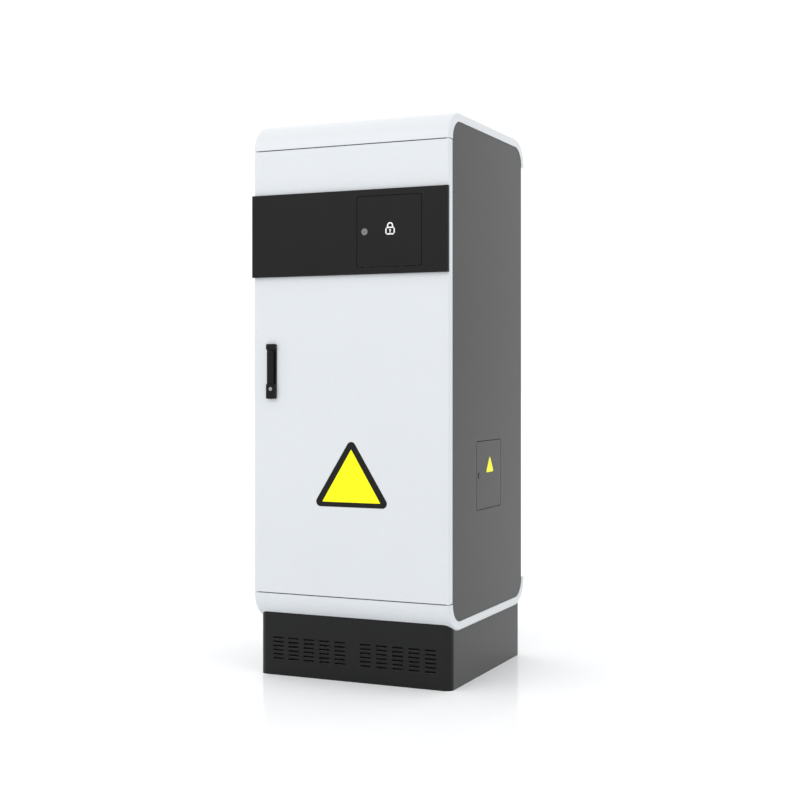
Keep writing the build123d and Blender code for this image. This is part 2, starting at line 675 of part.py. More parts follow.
with BuildPart() as door_gasket:
    with BuildSketch(Plane.XZ.offset(DOOR_REAR)):
        with Locations((0, SHELL_MID)):
            Rectangle(WIDTH - 2 * GASKET_INSET, DOOR_HEIGHT - 2 * GASKET_INSET)
            Rectangle(
                WIDTH - 2 * (GASKET_INSET + GASKET_WIDTH),
                DOOR_HEIGHT - 2 * (GASKET_INSET + GASKET_WIDTH),
                mode=Mode.SUBTRACT,
            )
    extrude(amount=-(DOOR_REAR - POST_Y - GASKET_PLAY))
save(door_gasket, "door_gasket")

with BuildPart() as door_channels:
    with BuildSketch(Plane.XY.offset(DOOR_BASE + CHANNEL_END)):
        with Locations((HANDLE_X, -DOOR_INNER), (CHANNEL_X, -DOOR_INNER)):
            Rectangle(CHANNEL_WIDTH, CHANNEL_DEPTH, align=(Align.CENTER, Align.MIN))
            Rectangle(
                CHANNEL_WIDTH - 2 * SKIN,
                CHANNEL_DEPTH - SKIN,
                align=(Align.CENTER, Align.MIN),
                mode=Mode.SUBTRACT,
            )
    extrude(amount=DOOR_HEIGHT - 2 * CHANNEL_END)
    with BuildSketch(Plane.XZ.offset(CHANNEL_REAR)):
        with Locations((HANDLE_X, TURN_Z)):
            Circle(SPINDLE_RADIUS + SLIDING)
    extrude(amount=SKIN, mode=Mode.SUBTRACT)
save(door_channels, "door_channels")

pocket_base = DOOR_BASE + POCKET_BASE
with BuildPart() as document_pocket:
    with BuildSketch(Plane.XZ.offset(DOOR_INNER)):
        with Locations((0, pocket_base)):
            Rectangle(POCKET_WIDTH, POCKET_HEIGHT, align=(Align.CENTER, Align.MIN))
    extrude(amount=-POCKET_DEPTH)
    with BuildSketch(Plane.XZ.offset(DOOR_INNER)):
        with Locations((0, pocket_base + POCKET_WALL)):
            Rectangle(POCKET_WIDTH - 2 * POCKET_WALL, POCKET_HEIGHT, align=(Align.CENTER, Align.MIN))
    extrude(amount=-(POCKET_DEPTH - POCKET_WALL), mode=Mode.SUBTRACT)
save(document_pocket, "document_pocket")

# Band: a raised black panel across the door, with the opening of the flap, the holes of the flap's hinge
# pins and a keeper for its lock.
with BuildPart() as fascia_band:
    with BuildSketch(Plane.XZ.offset(BACK)):
        with Locations((0, BAND_MID)):
            Rectangle(WIDTH, BAND_HEIGHT)
    extrude(amount=BAND_DEPTH)
    fillet(fascia_band.faces().sort_by(Axis.Y)[0].edges(), BAND_EDGE)
    with BuildSketch(Plane.XZ.offset(BACK)):
        with Locations((FLAP_X, BAND_MID)):
            RectangleRounded(FLAP_OPENING, FLAP_OPENING, FLAP_CORNER)
    extrude(amount=BAND_DEPTH, mode=Mode.SUBTRACT)
    with BuildSketch(Plane.XY.offset(BAND_MID - FLAP_OPENING / 2 - HINGE_REACH - SLIDING)):
        with Locations((FLAP_AXIS_X, FLAP_AXIS_Y)):
            Circle(HINGE_PIN + RUNNING)
    extrude(amount=FLAP_OPENING + 2 * (HINGE_REACH + SLIDING), mode=Mode.SUBTRACT)
    with BuildSketch(Plane.XZ.offset(FLAP_KEEPER)):
        with Locations((FLAP_X - FLAP_OPENING / 2, BAND_MID)):
            Rectangle(KEEPER_REACH, KEEPER_HEIGHT, align=(Align.MIN, Align.CENTER))
    extrude(amount=-KEEPER_WALL)
save(fascia_band, "fascia_band")

with BuildPart() as control_flap:
    with BuildSketch(Plane.XZ.offset(BAND_FACE)):
        with Locations((FLAP_X, BAND_MID)):
            RectangleRounded(FLAP_SIZE, FLAP_SIZE, FLAP_CORNER - FLAP_GAP)
    extrude(amount=-FLAP_WALL)
    with BuildSketch(Plane.XY.offset(BAND_MID - FLAP_SIZE / 2 + FLAP_GAP)):
        with Locations((FLAP_AXIS_X, FLAP_AXIS_Y)):
            Circle(KNUCKLE_RADIUS)
    extrude(amount=FLAP_SIZE - 2 * FLAP_GAP)
    with BuildSketch(Plane.XY.offset(BAND_MID - FLAP_OPENING / 2 - HINGE_REACH)):
        with Locations((FLAP_AXIS_X, FLAP_AXIS_Y)):
            Circle(HINGE_PIN)
    extrude(amount=FLAP_OPENING + 2 * HINGE_REACH)
    with BuildSketch(Plane.XZ.offset(BAND_FACE)):
        with Locations((FLAP_LOCK_X, BAND_MID)):
            Circle(LOCK_BARREL + RUNNING)
    extrude(amount=-FLAP_WALL, mode=Mode.SUBTRACT)
save(control_flap, "control_flap")


def cam_lock(face, middle, depth):
    """Lock on a face plane: a head with a key slot, a barrel through the leaf and a tongue at a depth."""
    with BuildPart() as lock:
        with BuildSketch(face.offset(RUNNING)):
            with Locations(middle):
                Circle(LOCK_HEAD)
        extrude(amount=LOCK_PROUD)
        fillet(lock.faces().sort_by(Axis(face.origin, face.z_dir))[-1].edges(), LOCK_EDGE)
        with BuildSketch(face.offset(RUNNING + LOCK_PROUD)):
            with Locations(middle):
                Rectangle(KEY_SLOT, LOCK_HEAD)
        extrude(amount=-KEY_DEPTH, mode=Mode.SUBTRACT)
        with BuildSketch(face.offset(RUNNING)):
            with Locations(middle):
                Circle(LOCK_BARREL)
        extrude(amount=-(RUNNING + depth))
        with BuildSketch(face.offset(-depth)):
            with Locations(middle):
                Circle(LOCK_BARREL)
                Rectangle(TONGUE_WIDTH, TONGUE_REACH, align=(Align.CENTER, Align.MAX))
        extrude(amount=-TONGUE_WALL)
    return lock


flap_lock = cam_lock(Plane.XZ.offset(BAND_FACE), (FLAP_LOCK_X, BAND_MID), BAND_FACE - FLAP_TONGUE)
save(flap_lock, "flap_lock")

# Manual control panel: a sheet box on the back of the door's skin, a plate folded at its sides that stands
# in it, push buttons and a mode knob.
with BuildPart() as control_box:
    with BuildSketch(Plane.XZ.offset(DOOR_INNER)):
        with Locations((FLAP_X, BAND_MID)):
            Rectangle(FLAP_OPENING + 2 * BOX_FLANGE, FLAP_OPENING + 2 * BOX_FLANGE)
    extrude(amount=-BOX_WALL)
    with BuildSketch(Plane.XZ.offset(DOOR_INNER)):
        with Locations((FLAP_X, BAND_MID)):
            Rectangle(FLAP_OPENING + 2 * BOX_WALL, FLAP_OPENING + 2 * BOX_WALL)
    extrude(amount=-BOX_DEPTH)
    with BuildSketch(Plane.XZ.offset(DOOR_INNER)):
        with Locations((FLAP_X, BAND_MID)):
            Rectangle(FLAP_OPENING, FLAP_OPENING)
    extrude(amount=-(BOX_DEPTH - BOX_WALL), mode=Mode.SUBTRACT)
save(control_box, "control_box")

button_places = [
    (FLAP_X + (index - (BUTTON_COUNT - 1) / 2) * BUTTON_PITCH, BUTTON_Z) for index in range(BUTTON_COUNT)
]
knob_place = (FLAP_X - KNOB_X, BAND_MID + KNOB_RISE)
bezel_place = (FLAP_X + BEZEL_X, BAND_MID + KNOB_RISE)

with BuildPart() as control_plate:
    with BuildSketch(Plane.XZ.offset(CONTROL_FACE)):
        with Locations((FLAP_X, BAND_MID)):
            Rectangle(CONTROL_SIZE, CONTROL_SIZE)
    extrude(amount=-(BOX_DEPTH - BOX_WALL - CONTROL_RECESS))
    with BuildSketch(Plane.XZ.offset(CONTROL_FACE - CONTROL_WALL)):
        with Locations((FLAP_X, BAND_MID)):
            Rectangle(CONTROL_SIZE - 2 * CONTROL_WALL, CONTROL_SIZE)
    extrude(amount=-BOX_DEPTH, mode=Mode.SUBTRACT)
    with BuildSketch(Plane.XZ.offset(CONTROL_FACE)):
        with Locations(bezel_place):
            Rectangle(BEZEL_WIDTH, BEZEL_HEIGHT)
            Rectangle(
                BEZEL_WIDTH - 2 * BEZEL_BORDER, BEZEL_HEIGHT - 2 * BEZEL_BORDER, mode=Mode.SUBTRACT
            )
    extrude(amount=BEZEL_DEPTH)
    with BuildSketch(Plane.XZ.offset(CONTROL_FACE)):
        with Locations(button_places):
            Circle(BUTTON_RADIUS + RUNNING)
        with Locations(knob_place):
            Circle(KNOB_SPINDLE + RUNNING)
    extrude(amount=-CONTROL_WALL, mode=Mode.SUBTRACT)
save(control_plate, "control_plate")

for index, place in enumerate(button_places):
    with BuildPart() as push_button:
        with BuildSketch(Plane.XZ.offset(CONTROL_FACE + BUTTON_PROUD)):
            with Locations(place):
                Circle(BUTTON_RADIUS)
        extrude(amount=-(BUTTON_PROUD + CONTROL_WALL + SLIDING))
        fillet(push_button.faces().sort_by(Axis.Y)[0].edges(), BUTTON_EDGE)
        with BuildSketch(Plane.XZ.offset(CONTROL_FACE - CONTROL_WALL - SLIDING)):
            with Locations(place):
                Circle(BUTTON_FLANGE)
        extrude(amount=-BUTTON_FLANGE_WALL)
    save(push_button, f"push_button_{index + 1}")

with BuildPart() as mode_knob:
    with BuildSketch(Plane.XZ.offset(CONTROL_FACE + SLIDING)):
        with Locations(knob_place):
            Circle(KNOB_RADIUS)
    extrude(amount=KNOB_BASE)
    with BuildSketch(Plane.XZ.offset(CONTROL_FACE + SLIDING)):
        with Locations(knob_place):
            SlotOverall(2 * (KNOB_RADIUS - KNOB_SHOULDER), KNOB_GRIP, rotation=90)
    extrude(amount=KNOB_DEPTH)
    with BuildSketch(Plane.XZ.offset(CONTROL_FACE + SLIDING)):
        with Locations(knob_place):
            Circle(KNOB_SPINDLE)
    extrude(amount=-(CONTROL_WALL + KNOB_TAIL))
save(mode_knob, "mode_knob")

# Swing handle: a moulded base on the door, a hub that turns in it with the spindle and the lift pin, a
# lever hinged on that pin, and a key cylinder in the foot of the base.
with BuildPart() as handle_base:
    with BuildSketch(Plane.YZ.offset(HANDLE_X - HANDLE_WIDTH / 2)):
        with Locations((-BACK, HANDLE_FOOT)):
            Rectangle(HANDLE_BED, HANDLE_LENGTH, align=(Align.MAX, Align.MIN))
            Rectangle(HANDLE_RAISED, HANDLE_FOOT_BLOCK, align=(Align.MAX, Align.MIN))
        with Locations((-BACK, HANDLE_TOP)):
            Rectangle(HANDLE_RAISED, HANDLE_TOP_BLOCK, align=(Align.MAX, Align.MAX))
    extrude(amount=HANDLE_WIDTH)
    ends = handle_base.edges().filter_by(Axis.Y).group_by(Axis.Z)
    fillet(ends[0] + ends[-1], HANDLE_CORNER)
    with BuildSketch(Plane.XZ.offset(HANDLE_BED_FACE)):
        with Locations((HANDLE_X, TURN_Z)):
            Circle(HUB_RADIUS + RUNNING)
    extrude(amount=-HUB_DEPTH, mode=Mode.SUBTRACT)
    with BuildSketch(Plane.XZ.offset(HANDLE_BED_FACE)):
        with Locations((HANDLE_X, TURN_Z)):
            Circle(SPINDLE_RADIUS + RUNNING)
    extrude(amount=-HANDLE_BED, mode=Mode.SUBTRACT)
    with BuildSketch(Plane.XZ.offset(HANDLE_FACE)):
        with Locations((HANDLE_X, CYLINDER_Z)):
            Circle(CYLINDER_RADIUS + RUNNING)
    extrude(amount=-CYLINDER_DEPTH, mode=Mode.SUBTRACT)
save(handle_base, "handle_base")

with BuildPart() as handle_hub:
    with BuildSketch(Plane.XZ.offset(HANDLE_BED_FACE)):
        with Locations((HANDLE_X, TURN_Z)):
            Circle(HUB_RADIUS)
    extrude(amount=-(HUB_DEPTH - RUNNING))
    with BuildSketch(Plane.XZ.offset(HANDLE_BED_FACE)):
        with Locations((HANDLE_X, TURN_Z)):
            Circle(SPINDLE_RADIUS)
    extrude(amount=-(HANDLE_BED_FACE - CHANNEL_REAR + GEARBOX_DEPTH - GEARBOX_WALL - SLIDING))
    with BuildSketch(Plane.YZ.offset(HANDLE_X)):
        with Locations((LIFT_Y, LIFT_Z)):
            Circle(LUG_RADIUS)
            Rectangle(-HANDLE_BED_FACE - LIFT_Y, 2 * LUG_RADIUS, align=(Align.MIN, Align.CENTER))
    extrude(amount=LUG_WIDTH / 2, both=True)
    with BuildSketch(Plane.YZ.offset(HANDLE_X)):
        with Locations((LIFT_Y, LIFT_Z)):
            Circle(LIFT_PIN)
    extrude(amount=LIFT_PIN_LENGTH / 2, both=True)
save(handle_hub, "handle_hub")

with BuildPart() as handle_lever:
    with BuildSketch(Plane.XZ.offset(LEVER_REAR)):
        with Locations((HANDLE_X, TURN_Z)):
            Circle(LEVER_WIDTH / 2)
            Rectangle(LEVER_WIDTH, TURN_Z - LEVER_FOOT, align=(Align.CENTER, Align.MAX))
    extrude(amount=LEVER_THICK)
    fillet(handle_lever.faces().sort_by(Axis.Y)[0].edges(), LEVER_EDGE)
    with BuildSketch(Plane.YZ.offset(HANDLE_X)):
        with Locations((LIFT_Y, LIFT_Z)):
            Circle(LEVER_THICK / 2)
            Rectangle(LEVER_THICK, LIFT_Z - LEVER_FOOT, align=(Align.CENTER, Align.MAX))
    extrude(amount=LEVER_WIDTH / 2, both=True, mode=Mode.INTERSECT)
    with BuildSketch(Plane.XZ.offset(LEVER_REAR)):
        with Locations((HANDLE_X, LIFT_Z - LUG_RADIUS - SLIDING)):
            Rectangle(LUG_WIDTH + 2 * SLIDING, LEVER_WIDTH, align=(Align.CENTER, Align.MIN))
    extrude(amount=LEVER_THICK - LEVER_SKIN, mode=Mode.SUBTRACT)
    with BuildSketch(Plane.YZ.offset(HANDLE_X)):
        with Locations((LIFT_Y, LIFT_Z)):
            Circle(LIFT_PIN + RUNNING)
    extrude(amount=LEVER_WIDTH, both=True, mode=Mode.SUBTRACT)
    with BuildSketch(Plane.YZ.offset(HANDLE_X)):
        with BuildLine():
            Polyline(
                (-LEVER_REAR, LEVER_FOOT),
                (-LEVER_REAR - SCOOP_DEPTH, LEVER_FOOT),
                (-LEVER_REAR, LEVER_FOOT + SCOOP_LENGTH),
                close=True,
            )
        make_face()
    extrude(amount=LEVER_WIDTH, both=True, mode=Mode.SUBTRACT)
save(handle_lever, "handle_lever")

with BuildPart() as lock_cylinder:
    with BuildSketch(Plane.XZ.offset(HANDLE_FACE + CYLINDER_PROUD)):
        with Locations((HANDLE_X, CYLINDER_Z)):
            Circle(CYLINDER_RADIUS)
    extrude(amount=-(CYLINDER_PROUD + CYLINDER_DEPTH - RUNNING))
    with BuildSketch(Plane.XZ.offset(HANDLE_FACE + CYLINDER_PROUD)):
        with Locations((HANDLE_X, CYLINDER_Z)):
            Rectangle(KEY_SLOT, CYLINDER_RADIUS)
    extrude(amount=-KEY_DEPTH, mode=Mode.SUBTRACT)
save(lock_cylinder, "lock_cylinder")

# Latch: a gearbox on the left channel turns the spindle's turn into the travel of two flat rods, which run
# through guides and pass behind the cross rails when they are thrown.
rod_y = ROD_WALL / 2 - ROD_FRONT

with BuildPart() as latch_gearbox:
    with BuildSketch(Plane.XZ.offset(CHANNEL_REAR)):
        with Locations((HANDLE_X, TURN_Z)):
            Rectangle(GEARBOX_WIDTH, GEARBOX_HEIGHT)
    extrude(amount=-GEARBOX_DEPTH)
    with BuildSketch(Plane.XZ.offset(CHANNEL_REAR)):
        with Locations((HANDLE_X, TURN_Z)):
            Circle(SPINDLE_RADIUS + RUNNING)
    extrude(amount=-(GEARBOX_DEPTH - GEARBOX_WALL), mode=Mode.SUBTRACT)
    with BuildSketch(Plane.XY.offset(GEARBOX_TOP)):
        with Locations((HANDLE_X, rod_y)):
            Rectangle(ROD_WIDTH + 2 * SLIDING, ROD_WALL + 2 * SLIDING)
    extrude(amount=-(ROD_INSERT + SLIDING), mode=Mode.SUBTRACT)
    with BuildSketch(Plane.XY.offset(GEARBOX_FOOT)):
        with Locations((HANDLE_X, rod_y)):
            Rectangle(ROD_WIDTH + 2 * SLIDING, ROD_WALL + 2 * SLIDING)
    extrude(amount=ROD_INSERT + SLIDING, mode=Mode.SUBTRACT)
save(latch_gearbox, "latch_gearbox")

with BuildPart() as upper_rod:
    with BuildSketch(Plane.XY.offset(GEARBOX_TOP - ROD_INSERT)):
        with Locations((HANDLE_X, rod_y)):
            Rectangle(ROD_WIDTH, ROD_WALL)
    extrude(amount=ROD_TOP - GEARBOX_TOP + ROD_INSERT)
    chamfer(upper_rod.faces().sort_by(Axis.Z)[-1].edges().filter_by(Axis.Y), ROD_WALL)
save(upper_rod, "upper_rod")

with BuildPart() as lower_rod:
    with BuildSketch(Plane.XY.offset(GEARBOX_FOOT + ROD_INSERT)):
        with Locations((HANDLE_X, rod_y)):
            Rectangle(ROD_WIDTH, ROD_WALL)
    extrude(amount=ROD_FOOT - GEARBOX_FOOT - ROD_INSERT)
    chamfer(lower_rod.faces().sort_by(Axis.Z)[0].edges().filter_by(Axis.Y), ROD_WALL)
save(lower_rod, "lower_rod")

with BuildPart() as rod_guides:
    with BuildSketch(Plane.XY.offset(ROD_TOP - GUIDE_END), Plane.XY.offset(ROD_FOOT + GUIDE_END)):
        with Locations((HANDLE_X, -CHANNEL_REAR)):
            Rectangle(GUIDE_WIDTH, GUIDE_DEPTH, align=(Align.CENTER, Align.MIN))
        with Locations((HANDLE_X, rod_y)):
            Rectangle(ROD_WIDTH + 2 * SLIDING, ROD_WALL + 2 * SLIDING, mode=Mode.SUBTRACT)
    extrude(amount=GUIDE_HEIGHT / 2, both=True)
save(rod_guides, "rod_guides")

# Hatch: a leaf in the right side panel that turns on pins in the inlet box behind it, with a cam lock.
with BuildPart() as hatch_door:
    with BuildSketch(Plane.YZ.offset(HATCH_FACE)):
        with Locations((0, HATCH_Z)):
            RectangleRounded(HATCH_LEAF, HATCH_LEAF, HATCH_CORNER - HATCH_GAP)
    extrude(amount=-HATCH_WALL)
    with BuildSketch(Plane.XY.offset(HATCH_Z - HATCH_LEAF / 2 + HATCH_GAP)):
        with Locations((HATCH_AXIS_X, HATCH_AXIS_Y)):
            Circle(KNUCKLE_RADIUS)
    extrude(amount=HATCH_LEAF - 2 * HATCH_GAP)
    with BuildSketch(Plane.XY.offset(HATCH_Z - HATCH_SIZE / 2 - HINGE_REACH)):
        with Locations((HATCH_AXIS_X, HATCH_AXIS_Y)):
            Circle(HINGE_PIN)
    extrude(amount=HATCH_SIZE + 2 * HINGE_REACH)
    with BuildSketch(Plane.YZ.offset(HATCH_FACE)):
        with Locations((HATCH_LOCK_Y, HATCH_Z)):
            Circle(LOCK_BARREL + RUNNING)
    extrude(amount=-HATCH_WALL, mode=Mode.SUBTRACT)
save(hatch_door, "hatch_door")

hatch_lock = cam_lock(Plane.YZ.offset(HATCH_FACE), (HATCH_LOCK_Y, HATCH_Z), HATCH_FACE - HATCH_TONGUE)
save(hatch_lock, "hatch_lock")

with BuildPart() as inlet_box:
    with BuildSketch(Plane.YZ.offset(PANEL_X)):
        with Locations((0, HATCH_Z)):
            Rectangle(HATCH_SIZE + 2 * INLET_FLANGE, HATCH_SIZE + 2 * INLET_FLANGE)
    extrude(amount=-INLET_WALL)
    with BuildSketch(Plane.YZ.offset(PANEL_X)):
        with Locations((0, HATCH_Z)):
            Rectangle(HATCH_SIZE + 2 * INLET_WALL, HATCH_SIZE + 2 * INLET_WALL)
    extrude(amount=-INLET_DEPTH)
    with BuildSketch(Plane.YZ.offset(PANEL_X)):
        with Locations((0, HATCH_Z)):
            Rectangle(HATCH_SIZE, HATCH_SIZE)
    extrude(amount=-(INLET_DEPTH - INLET_WALL), mode=Mode.SUBTRACT)
    with BuildSketch(Plane.XY.offset(HATCH_Z - HATCH_SIZE / 2 - HINGE_REACH)):
        with Locations((HATCH_AXIS_X, HATCH_AXIS_Y)):
            Circle(HINGE_PIN + RUNNING)
    extrude(amount=HATCH_SIZE + 2 * HINGE_REACH, mode=Mode.SUBTRACT)
    with BuildSketch(Plane.YZ.offset(HATCH_KEEPER)):
        with Locations((-HATCH_SIZE / 2, HATCH_Z)):
            Rectangle(KEEPER_REACH, KEEPER_HEIGHT, align=(Align.MIN, Align.CENTER))
    extrude(amount=-KEEPER_WALL)
save(inlet_box, "inlet_box")

with BuildPart() as power_inlet:
    with BuildSketch(Plane.YZ.offset(INLET_BACK)):
        with Locations((0, HATCH_Z)):
            RectangleRounded(SOCKET_FLANGE, SOCKET_FLANGE, SOCKET_FLANGE_WALL)
    extrude(amount=SOCKET_FLANGE_WALL)
    with BuildSketch(Plane.YZ.offset(INLET_BACK)):
        with Locations((0, HATCH_Z)):
            Circle(SOCKET_RADIUS)
            Circle(SOCKET_BORE, mode=Mode.SUBTRACT)
    extrude(amount=SOCKET_DEPTH)
    with BuildSketch(Plane.YZ.offset(INLET_BACK)):
        with Locations((0, HATCH_Z)):
            with PolarLocations(SOCKET_PIN_CIRCLE, SOCKET_PINS):
                Circle(SOCKET_PIN)
    extrude(amount=SOCKET_PIN_LENGTH)
save(power_inlet, "power_inlet")

# Racks: sheet frames with ears on the front rails, each filled with plug-in modules of a face plate, a
# board and a pull.
card_steps = int((RACK_WIDTH - 2 * (RACK_WALL + CARD_CLEAR)) // CARD_STEP)
controller_cards = CONTROLLER_CARDS + (card_steps - sum(CONTROLLER_CARDS),)
driver_cards = (DRIVER_CARD,) * (card_steps // DRIVER_CARD) + (card_steps % DRIVER_CARD,)
for rack_name, rack_base, cards in (
    ("controller", CONTROLLER_BASE, controller_cards),
    ("driver", DRIVER_BASE, driver_cards),
):
    rack_mid = rack_base + RACK_HEIGHT / 2
    with BuildPart() as rack:
        with BuildSketch(Plane.XZ.offset(-RACK_Y)):
            with Locations((0, rack_mid)):
                Rectangle(RACK_WIDTH, RACK_HEIGHT)
        extrude(amount=-RACK_DEPTH)
        with BuildSketch(Plane.XZ.offset(-RACK_Y)):
            with Locations((0, rack_mid)):
                Rectangle(RACK_PANEL, RACK_HEIGHT)
        extrude(amount=RACK_WALL)
        with BuildSketch(Plane.XZ.offset(RACK_FRONT)):
            with Locations((0, rack_mid)):
                Rectangle(RACK_WIDTH - 2 * RACK_WALL, RACK_HEIGHT - 2 * RACK_WALL)
        extrude(amount=-RACK_DEPTH, mode=Mode.SUBTRACT)
        with BuildSketch(Plane.XY.offset(rack_base)):
            with Locations((0, FAN_Y)):
                with GridLocations(VENT_PITCH, RACK_DEPTH / 2, int(RACK_WIDTH // VENT_PITCH), 2):
                    Rectangle(VENT_WIDTH, VENT_LENGTH)
        extrude(amount=RACK_HEIGHT, mode=Mode.SUBTRACT)
    save(rack, f"{rack_name}_rack")

    edges = [CARD_STEP * (sum(cards[:index]) - sum(cards) / 2) for index in range(len(cards))]
    slots = [(edge + CARD_STEP * steps / 2, CARD_STEP * steps) for edge, steps in zip(edges, cards)]
    with BuildPart() as modules:
        with BuildSketch(Plane.XZ.offset(RACK_FRONT)):
            for x, width in slots:
                with Locations((x, rack_mid)):
                    Rectangle(width - CARD_GAP, RACK_HEIGHT)
        extrude(amount=CARD_FACE)
        with BuildSketch(Plane.XZ.offset(RACK_FRONT)):
            for x, width in slots:
                with Locations((x, rack_mid)):
                    Rectangle(CARD_BOARD, RACK_HEIGHT - 2 * (RACK_WALL + CARD_CLEAR))
        extrude(amount=-CARD_DEPTH)
        with BuildSketch(Plane.XZ.offset(RACK_FRONT)):
            for x, width in slots:
                with Locations((x, rack_base + CARD_PULL_HEIGHT)):
                    Rectangle(CARD_PULL_WIDTH, CARD_PULL_HEIGHT)
        extrude(amount=CARD_PULL_DEPTH)
    save(modules, f"{rack_name}_modules")

# Fan tray above the racks: a sheet tray with ears, two square fan frames with a motor base on struts, and a
# bladed rotor on the pin of each.
fan_places = [(-FAN_PITCH / 2, FAN_Y), (FAN_PITCH / 2, FAN_Y)]

with BuildPart() as fan_tray:
    with BuildSketch(Plane.XY.offset(TRAY_BASE)):
        with Locations((0, RACK_Y)):
            Rectangle(RACK_WIDTH, RACK_DEPTH, align=(Align.CENTER, Align.MIN))
        with Locations(fan_places):
            Circle(FAN_DUCT, mode=Mode.SUBTRACT)
    extrude(amount=RACK_WALL)
    with BuildSketch(Plane.XZ.offset(-RACK_Y)):
        with Locations((0, TRAY_BASE)):
            Rectangle(RACK_PANEL, RACK_UNIT - RACK_GAP, align=(Align.CENTER, Align.MIN))
    extrude(amount=RACK_WALL)
save(fan_tray, "fan_tray")

with BuildPart() as fan_frames:
    with BuildSketch(Plane.XY.offset(FAN_FOOT)):
        with Locations(fan_places):
            RectangleRounded(FAN_SIZE, FAN_SIZE, FAN_CORNER)
            Circle(FAN_DUCT, mode=Mode.SUBTRACT)
    extrude(amount=FAN_HEIGHT)
    with BuildSketch(Plane.XY.offset(FAN_FOOT)):
        with Locations(fan_places):
            Circle(FAN_MOTOR)
            with PolarLocations(0, FAN_STRUTS, start_angle=180 / FAN_STRUTS):
                Rectangle(FAN_DUCT + FAN_STRUT / 2, FAN_STRUT, align=(Align.MIN, Align.CENTER))
    extrude(amount=FAN_BASE)
    with BuildSketch(Plane.XY.offset(FAN_FOOT)):
        with Locations(fan_places):
            Circle(FAN_PIN)
    extrude(amount=FAN_BASE + FAN_PIN_LENGTH)
save(fan_frames, "fan_frames")

for fan_name, (fan_x, fan_y) in zip(("left", "right"), fan_places):
    with BuildPart(Plane((fan_x, fan_y, FAN_FOOT + FAN_BASE + SLIDING))) as fan_rotor:
        Cylinder(ROTOR_HUB, ROTOR_HEIGHT, align=(Align.CENTER, Align.CENTER, Align.MIN))
        with PolarLocations((ROTOR_HUB + ROTOR_TIP) / 2, ROTOR_BLADES):
            with Locations((0, 0, ROTOR_HEIGHT / 2)):
                Box(BLADE_LENGTH, BLADE_WALL, BLADE_CHORD, rotation=(BLADE_PITCH, 0, 0))
        Cylinder(
            ROTOR_TIP, ROTOR_HEIGHT, align=(Align.CENTER, Align.CENTER, Align.MIN), mode=Mode.INTERSECT
        )
        Cylinder(
            FAN_PIN + RUNNING,
            FAN_PIN_LENGTH,
            align=(Align.CENTER, Align.CENTER, Align.MIN),
            mode=Mode.SUBTRACT,
        )
    save(fan_rotor, f"fan_rotor_{fan_name}")

# Mounting plate on the rear rails, with DIN rails and the mains and terminal devices that clip on them.
with BuildPart() as mounting_plate:
    with BuildSketch(Plane.XZ.offset(-PLATE_Y)):
        with Locations((0, PLATE_FOOT)):
            Rectangle(2 * (RAIL_X - PLATE_MARGIN), PLATE_TOP - PLATE_FOOT, align=(Align.CENTER, Align.MIN))
    extrude(amount=PLATE_WALL)
save(mounting_plate, "mounting_plate")

with BuildPart() as din_rails:
    with BuildSketch(Plane.YZ):
        with Locations((PLATE_Y - PLATE_WALL, BREAKER_Z), (PLATE_Y - PLATE_WALL, TERMINAL_Z)):
            Rectangle(DIN_DEPTH, DIN_BASE, align=(Align.MAX, Align.CENTER))
        with Locations((DIN_FACE, BREAKER_Z), (DIN_FACE, TERMINAL_Z)):
            Rectangle(DIN_WALL, DIN_WIDTH, align=(Align.MIN, Align.CENTER))
            Rectangle(
                DIN_DEPTH - DIN_WALL,
                DIN_BASE - 2 * DIN_WALL,
                align=(Align.MIN, Align.CENTER),
                mode=Mode.SUBTRACT,
            )
    extrude(amount=DIN_LENGTH / 2, both=True)
save(din_rails, "din_rails")


def module_outline():
    """Side view of a clip-on device: a body on the rail and a nose that stands out of it."""
    with Locations((DIN_FACE, BREAKER_Z)):
        Rectangle(MODULE_DEPTH, MODULE_HEIGHT, align=(Align.MAX, Align.CENTER))
        Rectangle(NOSE_DEPTH, NOSE_HEIGHT, align=(Align.MAX, Align.CENTER))


branch_places = [BRANCH_BREAKER_X + index * BRANCH_PITCH for index in range(BRANCH_COUNT)]
for breaker_name, places, breaker_width in (
    ("main_breaker", [MAIN_BREAKER_X], MAIN_BREAKER_MODULES * MODULE_WIDTH),
    ("branch_breakers", branch_places, MODULE_WIDTH),
):
    with BuildPart() as breaker:
        with BuildSketch(*[Plane.YZ.offset(x) for x in places]):
            module_outline()
        extrude(amount=breaker_width / 2, both=True)
        with BuildSketch(Plane.XZ.offset(NOSE_DEPTH - DIN_FACE)):
            with Locations([(x, BREAKER_Z) for x in places]):
                Rectangle(TOGGLE_WIDTH + 2 * SLIDING, TOGGLE_SLOT)
        extrude(amount=-(2 * TOGGLE_DRUM + SLIDING), mode=Mode.SUBTRACT)
        with BuildSketch(*[Plane.YZ.offset(x) for x in places]):
            with Locations((TOGGLE_Y, BREAKER_Z)):
                Circle(TOGGLE_TRUNNION + RUNNING)
        extrude(
            amount=TOGGLE_WIDTH / 2 + TOGGLE_TRUNNION_LENGTH + SLIDING, both=True, mode=Mode.SUBTRACT
        )
    save(breaker, breaker_name)

